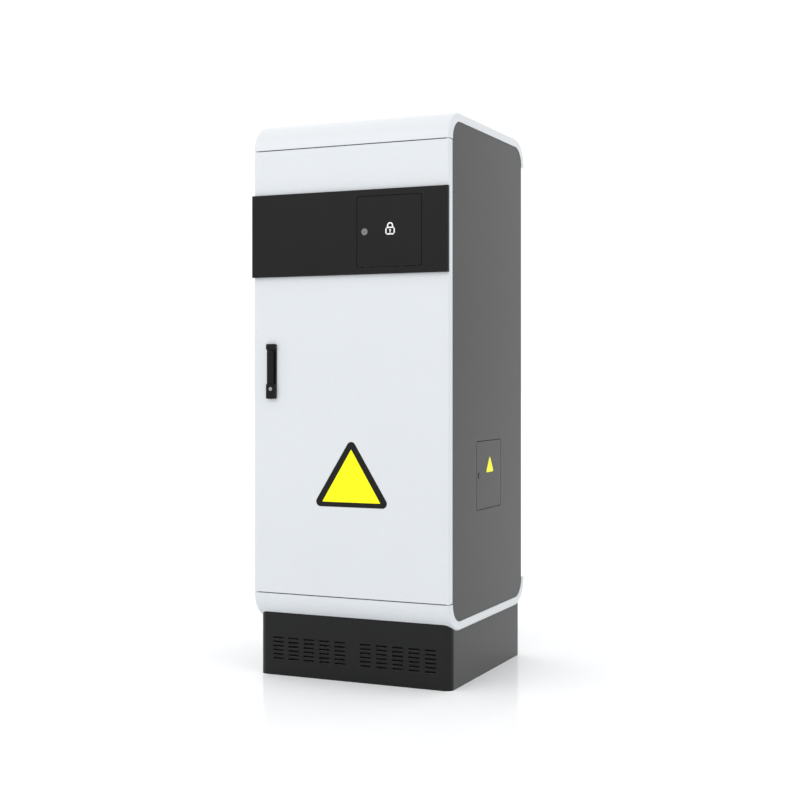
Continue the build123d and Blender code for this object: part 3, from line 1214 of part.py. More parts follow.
toggle_names = ["main_toggle"] + [f"branch_toggle_{index + 1}" for index in range(BRANCH_COUNT)]
for toggle_name, toggle_x in zip(toggle_names, [MAIN_BREAKER_X] + branch_places):
    with BuildPart() as toggle:
        with BuildSketch(Plane.YZ.offset(toggle_x)):
            with Locations((TOGGLE_Y, BREAKER_Z)):
                Circle(TOGGLE_DRUM)
                Rectangle(
                    TOGGLE_LEVER, TOGGLE_WALL, rotation=-TOGGLE_ANGLE, align=(Align.MAX, Align.CENTER)
                )
        extrude(amount=TOGGLE_WIDTH / 2, both=True)
        with BuildSketch(Plane.YZ.offset(toggle_x)):
            with Locations((TOGGLE_Y, BREAKER_Z)):
                Circle(TOGGLE_TRUNNION)
        extrude(amount=TOGGLE_WIDTH / 2 + TOGGLE_TRUNNION_LENGTH, both=True)
    save(toggle, toggle_name)

surge_width = SURGE_MODULES * MODULE_WIDTH
with BuildPart() as surge_arrester:
    with BuildSketch(Plane.YZ.offset(SURGE_X)):
        module_outline()
    extrude(amount=surge_width)
    with BuildSketch(Plane.XZ.offset(NOSE_DEPTH - DIN_FACE)):
        with Locations((SURGE_X + surge_width / 2, BREAKER_Z)):
            with GridLocations(MODULE_WIDTH, MODULE_WIDTH, SURGE_MODULES - 1, 1):
                Rectangle(SURGE_GROOVE, NOSE_HEIGHT)
    extrude(amount=-(NOSE_DEPTH - MODULE_DEPTH), mode=Mode.SUBTRACT)
save(surge_arrester, "surge_arrester")

strip_x = (TERMINAL_LENGTH + TERMINAL_GAP) / 2
strip_grooves = int(TERMINAL_LENGTH // TERMINAL_PITCH) - 1
with BuildPart() as terminal_strips:
    with BuildSketch(Plane.YZ.offset(strip_x)):
        with Locations((DIN_FACE, TERMINAL_Z)):
            Rectangle(TERMINAL_DEPTH - TERMINAL_STEP, TERMINAL_HEIGHT, align=(Align.MAX, Align.CENTER))
            Rectangle(TERMINAL_DEPTH, TERMINAL_HEIGHT - 2 * TERMINAL_STEP, align=(Align.MAX, Align.CENTER))
    extrude(amount=TERMINAL_LENGTH / 2, both=True)
    with BuildSketch(Plane.XZ.offset(TERMINAL_DEPTH - DIN_FACE)):
        with Locations((strip_x, TERMINAL_Z)):
            with GridLocations(TERMINAL_PITCH, TERMINAL_PITCH, strip_grooves, 1):
                Rectangle(TERMINAL_GROOVE, TERMINAL_HEIGHT)
    extrude(amount=-TERMINAL_STEP, mode=Mode.SUBTRACT)
    mirror(about=Plane.YZ)
save(terminal_strips, "terminal_strips")

earth_front = PLATE_WALL + EARTH_STANDOFF + EARTH_WALL - PLATE_Y
with BuildPart() as earth_bar:
    with BuildSketch(Plane.XZ.offset(earth_front)):
        with Locations((0, PLATE_FOOT + EARTH_RISE)):
            Rectangle(EARTH_LENGTH, EARTH_HEIGHT)
            with GridLocations(EARTH_LENGTH / EARTH_HOLES, EARTH_LENGTH, EARTH_HOLES, 1):
                Circle(EARTH_HOLE, mode=Mode.SUBTRACT)
    extrude(amount=-EARTH_WALL)
    with BuildSketch(Plane.XZ.offset(earth_front - EARTH_WALL)):
        with Locations((0, PLATE_FOOT + EARTH_RISE)):
            with GridLocations(EARTH_LENGTH - 2 * EARTH_FOOT_INSET, EARTH_LENGTH, 2, 1):
                Circle(EARTH_FOOT)
    extrude(amount=-EARTH_STANDOFF)
save(earth_bar, "earth_bar")

# Lamp under the rail over the door: a slim housing with a round lens.
with BuildPart() as cabinet_lamp:
    with BuildSketch(Plane.YZ):
        with Locations((LAMP_SETBACK - POST_Y, HEAD - POST_WALL)):
            Rectangle(LAMP_WIDTH, LAMP_HEIGHT, align=(Align.CENTER, Align.MAX))
        with Locations((LAMP_SETBACK - POST_Y, HEAD - POST_WALL - LAMP_HEIGHT)):
            Circle(LAMP_WIDTH / 2)
    extrude(amount=LAMP_LENGTH / 2, both=True)
save(cabinet_lamp, "cabinet_lamp")
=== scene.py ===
import math

import bmesh
import bpy
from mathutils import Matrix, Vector


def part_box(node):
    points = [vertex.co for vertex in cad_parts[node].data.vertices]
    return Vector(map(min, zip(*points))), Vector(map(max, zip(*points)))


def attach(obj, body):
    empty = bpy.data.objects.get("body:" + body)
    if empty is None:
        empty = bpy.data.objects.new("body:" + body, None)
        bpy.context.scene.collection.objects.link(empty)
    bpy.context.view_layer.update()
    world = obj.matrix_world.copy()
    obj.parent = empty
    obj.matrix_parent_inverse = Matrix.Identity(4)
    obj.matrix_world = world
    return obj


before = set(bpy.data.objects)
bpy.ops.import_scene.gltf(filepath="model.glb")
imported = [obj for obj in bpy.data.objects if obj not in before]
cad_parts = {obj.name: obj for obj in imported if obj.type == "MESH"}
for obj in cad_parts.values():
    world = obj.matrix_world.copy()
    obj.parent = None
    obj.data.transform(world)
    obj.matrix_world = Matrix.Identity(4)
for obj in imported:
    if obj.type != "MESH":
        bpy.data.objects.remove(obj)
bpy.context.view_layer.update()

# Plinth: folded steel panels and channel cheeks, welded at the corners and bolted to the foundation.
# Powder coated in charcoal with a fine sanded texture, which turns grey where it is seen along its face.
MM = 0.001


class Finish:
    """A socket of a material's nodes: sums on it add Math nodes, and node() adds any other."""

    def __init__(self, socket):
        self.socket = socket

    def node(self, kind, settings, sockets, output=0):
        """Add a node beside this one: first its settings, then the values or links of its sockets."""
        tree = self.socket.id_data
        made = tree.nodes.new("ShaderNode" + kind)
        for setting, value in settings.items():
            setattr(made, setting, value)
        for socket, value in sockets.items():
            if isinstance(value, Finish):
                tree.links.new(value.socket, made.inputs[socket])
            else:
                made.inputs[socket].default_value = value
        return Finish(made.outputs[output])

    def math(self, operation, *terms):
        return self.node("Math", {"operation": operation}, dict(enumerate(terms)))

    def __add__(self, other):
        return self.math("ADD", self, other)

    __radd__ = __add__

    def __sub__(self, other):
        return self.math("SUBTRACT", self, other)

    def __rsub__(self, other):
        return self.math("SUBTRACT", other, self)

    def __mul__(self, other):
        return self.math("MULTIPLY", self, other)

    __rmul__ = __mul__

    def __gt__(self, other):
        return self.math("GREATER_THAN", self, other)

    def __lt__(self, other):
        return self.math("LESS_THAN", self, other)

    def between(self, first, second):
        """A colour that goes from the first to the second with this value. Each is a colour or a socket."""
        share, first_socket, second_socket, colour = 0, 6, 7, 2
        ends = [end if isinstance(end, Finish) else (*end, 1) for end in (first, second)]
        sockets = {share: self, first_socket: ends[0], second_socket: ends[1]}
        return self.node("Mix", {"data_type": "RGBA"}, sockets, colour)

    def shades(self, tone, dark, light):
        """A tone that goes from a dark to a light share of itself with this value."""
        return self.between([dark * part for part in tone], [light * part for part in tone])


def new_finish(name):
    """A material, and the place on the piece in metres that its pattern starts from."""
    material = bpy.data.materials.new(name)
    material.use_nodes = True
    shader = material.node_tree.nodes["Principled BSDF"]
    place = Finish(shader.outputs[0]).node("TexCoord", {}, {}, "Object")
    return material, shader, place


def dress(shader, **sockets):
    """Link or set the shader's sockets, named with underscores for spaces."""
    for name, value in sockets.items():
        socket = shader.inputs[name.replace("_", " ")]
        if isinstance(value, Finish):
            shader.id_data.links.new(value.socket, socket)
        else:
            socket.default_value = value


def powder_coat(name, tone, roughness, grain, relief, shine, bloom):
    """Baked powder paint: a slight cloud in the colour, grains of one pitch, and a bloom along the face."""
    material, shader, place = new_finish(name)
    cloud = place.node("TexNoise", {}, {"Vector": place, "Scale": 3.0, "Detail": 3.0})
    grit = place.node("TexNoise", {}, {"Vector": place, "Scale": 1 / grain, "Detail": 2.0})
    shade = (cloud * 0.6 + grit * 0.4).shades(tone, dark=0.96, light=1.04)
    skin = place.node("Bump", {}, {"Strength": 0.5, "Distance": relief, "Height": grit})
    dress(shader, Base_Color=shade, Roughness=roughness + (grit - 0.5) * 0.16, Normal=skin)
    dress(shader, Specular_IOR_Level=shine, Sheen_Weight=bloom, Sheen_Roughness=0.35)
    return material


def coat(material, *nodes):
    """Give CAD nodes a finish."""
    for node in nodes:
        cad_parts[node].data.materials[0] = material


charcoal = powder_coat(
    "sanded_charcoal",
    tone=(0.0045, 0.0047, 0.005),
    roughness=0.34,
    grain=1.1 * MM,
    relief=0.04 * MM,
    shine=0.22,
    bloom=0.33,
)
coat(charcoal, "plinth_front_panel", "plinth_rear_panel", "plinth_cheeks")

# Caps: rolled white hoods at the foot and the head, with a rim round each side panel.
# Satin powder coat over folded steel, smooth but for the faint peel of the paint.
white = powder_coat(
    "satin_white",
    tone=(0.643, 0.669, 0.693),
    roughness=0.3,
    grain=2.6 * MM,
    relief=0.02 * MM,
    shine=0.5,
    bloom=0.0,
)
coat(white, "top_cap", "bottom_cap")


# Gland plate and cable glands: a galvanised plate screwed over the cable opening, with moulded glands.
# The zinc has the flowers of a hot dip, and the glands a dull moulded skin.
def galvanised(name, tone):
    """Hot-dip zinc: flowers of different greys, clouded over."""
    material, shader, place = new_finish(name)
    warp = place.node("TexNoise", {}, {"Vector": place, "Scale": 40.0, "Detail": 2.0})
    flowers = place.node("TexVoronoi", {}, {"Vector": place, "Scale": 70.0, "Randomness": 1.0}, "Color")
    flake = place.node("SeparateColor", {}, {"Color": flowers}, "Red")
    mottle = flake * 0.7 + warp * 0.3
    shade = mottle.shades(tone, dark=0.75, light=1.15)
    dress(shader, Base_Color=shade, Roughness=0.32 + mottle * 0.22, Metallic=1.0)
    return material


def moulding(name, tone, roughness, grain=0.8 * MM, relief=0.03 * MM, shine=0.5):
    """Moulded plastic with a spark-eroded grain."""
    material, shader, place = new_finish(name)
    grit = place.node("TexNoise", {}, {"Vector": place, "Scale": 1 / grain, "Detail": 1.0})
    haze = place.node("TexNoise", {}, {"Vector": place, "Scale": 9.0, "Detail": 3.0})
    shade = haze.shades(tone, dark=0.88, light=1.1)
    skin = place.node("Bump", {}, {"Strength": 0.5, "Distance": relief, "Height": grit})
    dress(shader, Base_Color=shade, Roughness=roughness + (grit - 0.5) * 0.15, Normal=skin)
    dress(shader, Specular_IOR_Level=shine)
    return material


def drawn_metal(name, tone, roughness, grain):
    """Drawn or brushed metal: grain is its streaks to the metre along x, y and z, few along their length."""
    material, shader, place = new_finish(name)
    along = place.node("VectorMath", {"operation": "MULTIPLY"}, {0: place, 1: grain})
    streaks = place.node("TexNoise", {}, {"Vector": along, "Scale": 1.0, "Detail": 3.0})
    cloud = place.node("TexNoise", {}, {"Vector": place, "Scale": 12.0, "Detail": 3.0})
    shade = (streaks * 0.6 + cloud * 0.4).shades(tone, dark=0.82, light=1.1)
    skin = place.node("Bump", {}, {"Strength": 0.3, "Distance": 0.02 * MM, "Height": streaks})
    dress(shader, Base_Color=shade, Roughness=roughness + (streaks - 0.5) * 0.2, Metallic=1.0, Normal=skin)
    return material


zinc_flowers = galvanised("galvanised_plate", (0.56, 0.58, 0.6))
coat(zinc_flowers, "gland_plate")
coat(moulding("gland_plastic", (0.1, 0.105, 0.11), 0.5), "cable_glands")


def set_down(name, mesh, material, body):
    """Turn a bmesh into a piece with soft shading that rides on a body."""
    shape = bpy.data.meshes.new(name)
    bmesh.ops.recalc_face_normals(mesh, faces=mesh.faces)
    mesh.to_mesh(shape)
    mesh.free()
    shape.materials.append(material)
    shape.shade_smooth()
    shape.set_sharp_from_angle(angle=math.radians(35))
    piece = bpy.data.objects.new(name, shape)
    bpy.context.scene.collection.objects.link(piece)
    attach(piece, body)


def turned(profile, spots, facing, sides=20):
    """Pieces spun from one profile of radius and height, one at each spot, all facing one way."""
    mesh = bmesh.new()
    tilt = Vector((0, 0, 1)).rotation_difference(Vector(facing)).to_matrix()
    for spot in spots:
        rings = []
        for radius, height in profile:
            ring = []
            for step in range(sides if radius else 1):
                angle = 2 * math.pi * step / sides
                point = Vector((radius * math.cos(angle), radius * math.sin(angle), height))
                ring.append(mesh.verts.new(tilt @ point + Vector(spot)))
            rings.append(ring)
        for low, high in zip(rings, rings[1:]):
            for step in range(sides):
                corners = [low[step % len(low)], low[(step + 1) % len(low)]]
                corners += [high[(step + 1) % len(high)], high[step % len(high)]]
                mesh.faces.new(list(dict.fromkeys(corners)))
    return mesh


screw_steel = drawn_metal("screw_steel", (0.62, 0.63, 0.65), 0.3, grain=(900, 900, 900))


def screws(name, radius, spots, facing, body="cabinet"):
    """Like button-head screws with a socket in the crown, one at each spot."""
    crown = [(0, 0.2), (0.42, 0.2), (0.46, 0.52), (0.7, 0.46), (0.93, 0.26), (1, 0.06), (1, 0)]
    head = [(radius * out, radius * up) for out, up in crown]
    set_down(name, turned(head, spots, facing), screw_steel, body)


upward = (0, 0, 1)
low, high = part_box("gland_plate")
inset = 10 * MM
spots = [
    (x, y, high.z)
    for x in (low.x + inset, 0, high.x - inset)
    for y in (low.y + inset, high.y - inset)
]
screws("gland_plate_screws", 4 * MM, spots, upward)

# Filter mats: pleated black foam, stuck to the inner faces of the plinth's front and rear panels.
# They keep dust and insects out of the cabinet. Their near-black tone is also painted shade for the dark
# inside of the plinth, so the slots look dark in front of them.
# The foam's near-black tone is partly the mats' own colour and partly painted shade for the plinth's dark
# inside behind the slots.
shade_mat_foam = moulding("filter_foam", (0.004, 0.004, 0.004), 0.9, grain=2.2 * MM, relief=0.8 * MM, shine=0.1)
mat_margin = 24.5 * MM
mat_rise = 32 * MM
mat_height = 90 * MM
mat_depth = 8 * MM
mat_pleats = 36
panel_wall = 3 * MM


def pleated_mat(panel, inward):
    """A mat of shallow pleats whose front lies against a panel's inner face."""
    low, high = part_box(panel)
    face = (low.y if inward > 0 else high.y) + inward * panel_wall
    far = face + inward * mat_depth
    foot = low.z + mat_rise
    head = foot + mat_height
    width = high.x - low.x - 2 * mat_margin
    folds = 2 * mat_pleats
    mesh = bmesh.new()
    rows = []
    for fold in range(folds + 1):
        x = width * (fold / folds - 0.5)
        near = face + inward * (mat_depth / 4 if fold % 2 else 0)
        section = ((near, foot), (near, head), (far, head), (far, foot))
        rows.append([mesh.verts.new((x, y, z)) for y, z in section])
    for row, following in zip(rows, rows[1:]):
        for index in range(len(row)):
            ahead = (index + 1) % len(row)
            mesh.faces.new((row[index], row[ahead], following[ahead], following[index]))
    mesh.faces.new(rows[0])
    mesh.faces.new(rows[-1][::-1])
    return mesh


# Each mat is a near-black sheet behind the slots, partly painted shade.
for panel, inward in (("plinth_front_panel", 1), ("plinth_rear_panel", -1)):
    set_down(panel.replace("panel", "filter"), pleated_mat(panel, inward), shade_mat_foam, "cabinet")

# Frame: angle posts, cross rails, arms and rack rails of zinc-plated strip, welded into a cage.
# The plating has faint streaks up each length. A galvanised plate for the devices stands across the cage.
plated = drawn_metal("plated_steel", (0.6, 0.615, 0.63), 0.34, grain=(420, 420, 14))
coat(plated, "corner_posts", "cross_rails", "side_arms", "rack_rails")
coat(zinc_flowers, "mounting_plate")

# Side and rear panels: flat sheets in the caps' rims, in the plinth's sanded charcoal.
# The rear one is held by button-head screws round its edge, into the posts and the rails.
coat(charcoal, "left_side_panel", "right_side_panel", "rear_panel")
rearward = (0, 1, 0)
low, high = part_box("rear_panel")
inset = 18 * MM
columns = 4
rows = 7
spots = []
for row in range(rows):
    for column in range(columns):
        if row in (0, rows - 1) or column in (0, columns - 1):
            x = low.x + inset + (high.x - low.x - 2 * inset) * column / (columns - 1)
            z = low.z + inset + (high.z - low.z - 2 * inset) * row / (rows - 1)
            spots.append((x, high.y, z))
screws("rear_panel_screws", 5 * MM, spots, rearward)

# Front door: a folded white pan on hidden pivots, with a foam seal stuck round the inside of its lips.
# Channels of plated strip stiffen it, and a folded white pocket holds the drawings.
coat(white, "door_panel", "document_pocket")
coat(plated, "door_channels")
bar_steel = drawn_metal("bar_steel", (0.47, 0.48, 0.5), 0.38, grain=(500, 500, 20))
coat(bar_steel, "pivot_blocks", "door_pivots")
coat(moulding("foam_seal", (0.014, 0.014, 0.015), 0.85, grain=1.6 * MM, relief=0.3 * MM), "door_gasket")


# Sign plate on the door: a plain triangle of thin sheet with rounded corners, stuck to the paint.
# Its face is enamelled in yellow inside a dark border.
def rounded_triangle(width, height, radius, steps=8):
    """Corners of a triangle that stands on its base, rounded, about the middle of its height."""
    tips = [Vector((-width / 2, -height / 2)), Vector((width / 2, -height / 2)), Vector((0, height / 2))]
    outline = []
    for index, tip in enumerate(tips):
        back = (tips[index - 1] - tip).normalized()
        ahead = (tips[(index + 1) % len(tips)] - tip).normalized()
        half = back.angle(ahead) / 2
        hub = tip + (back + ahead).normalized() * radius / math.sin(half)
        start = tip + back * radius / math.tan(half) - hub
        sweep = math.pi - 2 * half
        for step in range(steps + 1):
            turn = sweep * step / steps
            x = start.x * math.cos(turn) - start.y * math.sin(turn)
            y = start.x * math.sin(turn) + start.y * math.cos(turn)
            outline.append(hub + Vector((x, y)))
    return outline


def stamped(outlines, spot, facing, depth, edge):
    """Plates pressed from flat upright outlines about a spot, with a small rounded edge in front."""
    mesh = bmesh.new()
    up = Vector((0, 0, 1))
    out = Vector(facing)
    across = up.cross(out)
    for outline in outlines:
        foot = [Vector(spot) + across * point[0] + up * point[1] for point in outline]
        middle = sum(foot, Vector()) / len(foot)
        loops = []
        for lift, draw in ((0, 0), (depth - edge, 0), (depth, edge)):
            points = [point + (middle - point).normalized() * draw + out * lift for point in foot]
            loops.append([mesh.verts.new(point) for point in points])
        for lower, upper in zip(loops, loops[1:]):
            for index in range(len(foot)):
                ahead = (index + 1) % len(foot)
                mesh.faces.new((lower[index], lower[ahead], upper[ahead], upper[index]))
        mesh.faces.new(loops[-1])
        mesh.faces.new(loops[0][::-1])
    return mesh


def middle_of(node):
    """The middle of a CAD node's box."""
    low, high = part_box(node)
    return (low + high) / 2


forward = (0, -1, 0)
sign_width = 238 * MM
sign_height = 192.3 * MM
sign_corner = 13.5 * MM
sign_wall = 0.6 * MM
sign_shift = 8 * MM
sign_rise = 248.5 * MM
low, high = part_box("door_panel")
sign_x = middle_of("door_panel").x + sign_shift
sign_foot = low.z + sign_rise
sign_place = (sign_x, low.y, sign_foot + sign_height / 2)
sign_black = moulding("sign_border", (0.0105, 0.0103, 0.0098), 0.4, shine=0.13)
outline = rounded_triangle(sign_width, sign_height, sign_corner)
plate = stamped([outline], sign_place, forward, sign_wall, sign_wall / 2)
set_down("sign_plate", plate, sign_black, "door")

face_width = 178.4 * MM
face_height = 146 * MM
face_corner = 1.5 * MM
face_rise = 13.4 * MM
face_wall = 0.2 * MM
face_place = (sign_x, low.y - sign_wall, sign_foot + face_rise + face_height / 2)
sign_yellow = moulding("sign_enamel", (0.95, 0.93, 0.008), 0.33, grain=2 * MM, relief=0.01 * MM, shine=0.2)
outline = rounded_triangle(face_width, face_height, face_corner)
plate = stamped([outline], face_place, forward, face_wall, face_wall / 2)
set_down("sign_face", plate, sign_yellow, "door")

# Band and flap: a satin black moulding across the door, with a square flap let into it.
# The flap carries a printed padlock outline and a nickel-plated cam lock.
band_black = moulding(
    "band_black", (0.0105, 0.0105, 0.011), 0.33, grain=0.9 * MM, relief=0.012 * MM, shine=0.13
)
coat(band_black, "fascia_band", "control_flap")
nickel = drawn_metal("satin_nickel", (0.2, 0.205, 0.21), 0.26, grain=(300, 300, 300))
coat(nickel, "flap_lock")


def arc(height, radius, start, stop, steps=14):
    """Points of an arc about a height on the upright axis, from one angle to another in degrees."""
    points = []
    for step in range(steps + 1):
        angle = math.radians(start + (stop - start) * step / steps)
        points.append((radius * math.cos(angle), height + radius * math.sin(angle)))
    return points


def bar(left, foot, right, head):
    """Corners of an upright rectangle."""
    return [(left, foot), (right, foot), (right, head), (left, head)]


print_white = moulding("print_white", (0.86, 0.87, 0.88), 0.45, grain=2 * MM, relief=0.005 * MM)
print_wall = 0.08 * MM
padlock_shift = 3.5 * MM
padlock_rise = 6.5 * MM
padlock_width = 28 * MM
padlock_height = 21 * MM
padlock_line = 3.4 * MM
padlock_foot = -16.7 * MM
padlock_head = padlock_foot + padlock_height
right = padlock_width / 2
body_bars = [
    bar(-right, padlock_foot, right, padlock_foot + padlock_line),
    bar(-right, padlock_head - padlock_line, right, padlock_head),
    bar(-right, padlock_foot, padlock_line - right, padlock_head),
    bar(right - padlock_line, padlock_foot, right, padlock_head),
]
bow_radius = 9 * MM
bow_leg = 3.5 * MM
bow_inside = bow_radius - padlock_line
bow = (
    [(bow_radius, padlock_head)]
    + arc(padlock_head + bow_leg, bow_radius, 0, 180)
    + [(-bow_radius, padlock_head), (-bow_inside, padlock_head)]
    + arc(padlock_head + bow_leg, bow_inside, 180, 0)
    + [(bow_inside, padlock_head)]
)
keyhole_radius = 2.8 * MM
keyhole_rise = 12 * MM
keyhole = arc(padlock_foot + keyhole_rise, keyhole_radius, 0, 360)[:-1]
stem_half = 1.3 * MM
stem_rise = 5 * MM
stem_height = 6 * MM
stem_foot = padlock_foot + stem_rise
stem = bar(-stem_half, stem_foot, stem_half, stem_foot + stem_height)
middle = middle_of("control_flap")
flap_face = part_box("control_flap")[0].y
padlock_place = (middle.x + padlock_shift, flap_face, middle.z + padlock_rise)
padlock = stamped(body_bars + [bow, keyhole, stem], padlock_place, forward, print_wall, print_wall / 4)
set_down("padlock_print", padlock, print_white, "flap")

# Manual control panel: a plated box behind the flap with a brushed aluminium plate in it.
# Push buttons in coloured plastic, a black mode knob with a pointer, and a small display under glass.
brushed = drawn_metal("brushed_aluminium", (0.66, 0.67, 0.69), 0.33, grain=(10, 600, 700))
coat(plated, "control_box")
coat(brushed, "control_plate")
coat(moulding("green_cap", (0.012, 0.24, 0.035), 0.22), "push_button_1")
coat(moulding("amber_cap", (0.75, 0.31, 0.008), 0.22), "push_button_2")
coat(moulding("red_cap", (0.42, 0.008, 0.008), 0.22), "push_button_3")
coat(moulding("knob_black", (0.014, 0.014, 0.014), 0.42), "mode_knob")


def in_mm(points):
    """Points that are given in millimetres."""
    return [(across * MM, up * MM) for across, up in points]


display_rim = 3 * MM
control_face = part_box("control_plate")[0].y + display_rim
buttons = [middle_of(f"push_button_{number}") for number in (1, 2, 3)]
spots = [(button.x, control_face, button.z) for button in buttons]
button_ring = in_mm([(9.8, 0), (11, 0.4), (11, 1.6), (10.2, 2.2), (9.4, 2.2), (8.2, 1.2), (8.2, 0)])
set_down("button_rings", turned(button_ring, spots, forward, sides=28), nickel, "door")

knob = middle_of("mode_knob")
knob_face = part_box("mode_knob")[0].y
pointer_half = 0.7 * MM
pointer_foot = 2 * MM
pointer_tip = 10 * MM
pointer_wall = 0.1 * MM
pointer_edge = 0.03 * MM
pointer_bar = bar(-pointer_half, pointer_foot, pointer_half, pointer_tip)
pointer = stamped([pointer_bar], (knob.x, knob_face, knob.z), forward, pointer_wall, pointer_edge)
set_down("knob_pointer", pointer, print_white, "mode_switch")


def display_glass(name):
    """A dark display behind glass: rows of faint cells."""
    material, shader, place = new_finish(name)
    cells = place.node(
        "TexBrick", {"offset": 0.0}, {"Vector": place, "Scale": 260.0, "Mortar Size": 0.06}, "Fac"
    )
    haze = place.node("TexNoise", {}, {"Vector": place, "Scale": 25.0})
    shade = (cells * 0.5 + haze * 0.5).between((0.012, 0.022, 0.016), (0.035, 0.055, 0.04))
    dress(shader, Base_Color=shade, Roughness=0.1, Coat_Weight=0.6)
    return material


pane_right = 34 * MM
pane_head = 17 * MM
pane_shift = 32 * MM
pane_wall = 1.2 * MM
pane_place = (middle_of("control_plate").x + pane_shift, control_face, knob.z)
pane_bar = bar(-pane_right, -pane_head, pane_right, pane_head)
pane = stamped([pane_bar], pane_place, forward, pane_wall, pane_wall / 4)
set_down("display_pane", pane, display_glass("display_glass"), "door")

# Swing handle: a moulded black base and lever with a textured skin, a steel hub and a key cylinder.
# The base is screwed from inside the door, and the lever lies between its raised ends.
handle_black = moulding(
    "handle_black", (0.006, 0.006, 0.0063), 0.3, grain=0.7 * MM, relief=0.02 * MM, shine=0.15
)
coat(handle_black, "handle_base", "handle_lever")
coat(bar_steel, "handle_hub")
bright_nickel = drawn_metal("bright_nickel", (0.36, 0.365, 0.37), 0.24, grain=(300, 300, 300))
coat(bright_nickel, "lock_cylinder")

# Latch: a steel gearbox on the left channel, two flat rods of drawn bar, and moulded guides.
# Four screws hold the gearbox, and the rods slide in the guides' slots.
coat(bar_steel, "latch_gearbox", "upper_rod", "lower_rod")
coat(moulding("guide_nylon", (0.7, 0.69, 0.64), 0.45), "rod_guides")
low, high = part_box("latch_gearbox")
inset = 6 * MM
end_inset = 24 * MM
spots = [
    (x, high.y, z)
    for x in (low.x + inset, high.x - inset)
    for z in (low.z + end_inset, high.z - end_inset)
]
screws("gearbox_screws", 3.5 * MM, spots, rearward, "door")

# Hatch: a small charcoal leaf with a cam lock in the right side panel, over a black-plated inlet box whose
# dark tone is partly painted shade for the gap round the hatch.
# A plain yellow triangle is stuck on it, and a moulded blue power inlet is screwed inside the box.
coat(charcoal, "hatch_door")
# Black plating on the inlet box: partly its own finish, partly painted shade so the gap round the hatch
# reads dark.
black_zinc_and_gap_shade = drawn_metal("black_zinc_and_gap_shade", (0.085, 0.087, 0.09), 0.42, grain=(420, 14, 420))
coat(black_zinc_and_gap_shade, "inlet_box")
black_nickel = drawn_metal("black_nickel", (0.06, 0.061, 0.063), 0.3, grain=(300, 300, 300))
coat(black_nickel, "hatch_lock")
rightward = (1, 0, 0)
mark_width = 59.4 * MM
mark_height = 47 * MM
mark_corner = 4 * MM
mark_wall = 0.3 * MM
mark_shift = 6.8 * MM
mark_rise = 29.4 * MM
middle = middle_of("hatch_door")
hatch_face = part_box("hatch_door")[1].x
mark_place = (hatch_face, middle.y + mark_shift, middle.z + mark_rise)
outline = rounded_triangle(mark_width, mark_height, mark_corner)
mark = stamped([outline], mark_place, rightward, mark_wall, mark_wall / 2)
set_down("hatch_mark", mark, sign_yellow, "hatch")

low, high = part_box("power_inlet")
inlet_middle = (low.x, (low.y + high.y) / 2, (low.z + high.z) / 2)
inlet_plate = 4 * MM
pin_reach = 18 * MM


def inlet_finish(name, tone, pin_tone):
    """Moulded plastic, and plated pins where the piece stands over its plate inside the sleeve."""
    material, shader, place = new_finish(name)
    offset = place.node("VectorMath", {"operation": "SUBTRACT"}, {0: place, 1: inlet_middle})
    height = place.node("SeparateXYZ", {}, {"Vector": offset}, "X")
    flat = place.node("VectorMath", {"operation": "MULTIPLY"}, {0: offset, 1: (0, 1, 1)})
    reach = place.node("VectorMath", {"operation": "LENGTH"}, {0: flat}, "Value")
    pin = (height > 1.05 * inlet_plate) * (reach < pin_reach)
    haze = place.node("TexNoise", {}, {"Vector": place, "Scale": 9.0, "Detail": 3.0})
    shade = pin.between(haze.shades(tone, dark=0.88, light=1.1), pin_tone)
    dress(shader, Base_Color=shade, Roughness=0.32 + haze * 0.06, Metallic=pin)
    return material


coat(inlet_finish("inlet_blue", (0.012, 0.07, 0.32), pin_tone=(0.62, 0.6, 0.55)), "power_inlet")
inset = 7 * MM
spots = [
    (low.x + inlet_plate, y, z)
    for y in (low.y + inset, high.y - inset)
    for z in (low.z + inset, high.z - inset)
]
screws("inlet_screws", 3 * MM, spots, rightward)

# Racks: bent aluminium frames on the rails, full of plug-in modules with anodised face plates.
# Each module has a screw at its head and foot, lamps in a column, a moulded pull and, but for the blank
# at the end, a socket.
anodised = drawn_metal("anodised_sheet", (0.68, 0.69, 0.71), 0.4, grain=(12, 500, 600))
coat(anodised, "controller_rack", "driver_rack")
rack_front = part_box("controller_rack")[0].y
plate_wall = 2.5 * MM
plate_face = rack_front - plate_wall
skin = 0.1 * MM


def face_plates(name):
    """Anodised face plates in front, boards in green lacquer behind and dark pulls."""
    material, shader, place = new_finish(name)
    depth = place.node("SeparateXYZ", {}, {"Vector": place}, "Y")
    board = depth > rack_front + skin
    pull = depth < plate_face - skin
    along = place.node("VectorMath", {"operation": "MULTIPLY"}, {0: place, 1: (600, 500, 10)})
    streaks = place.node("TexNoise", {}, {"Vector": along, "Scale": 1.0, "Detail": 3.0})
    plate = streaks.between((0.5, 0.515, 0.53), (0.66, 0.675, 0.69))
    laid = board.between(plate, (0.012, 0.1, 0.035))
    shade = pull.between(laid, (0.02, 0.02, 0.022))
    metal = (1 - board) * (1 - pull) * 0.85
    dress(shader, Base_Color=shade, Roughness=0.36 + streaks * 0.12, Metallic=metal)
    return material


coat(face_plates("module_plates"), "controller_modules", "driver_modules")


def lamp_lens(name, tone):
    """A small coloured lens that glows a little, slightly cloudy."""
    material, shader, place = new_finish(name)
    cloud = place.node("TexNoise", {}, {"Vector": place, "Scale": 900.0})
    shade = cloud.shades(tone, dark=0.8, light=1.0)
    dress(shader, Base_Color=shade, Roughness=0.15, Emission_Color=shade, Emission_Strength=0.25)
    return material


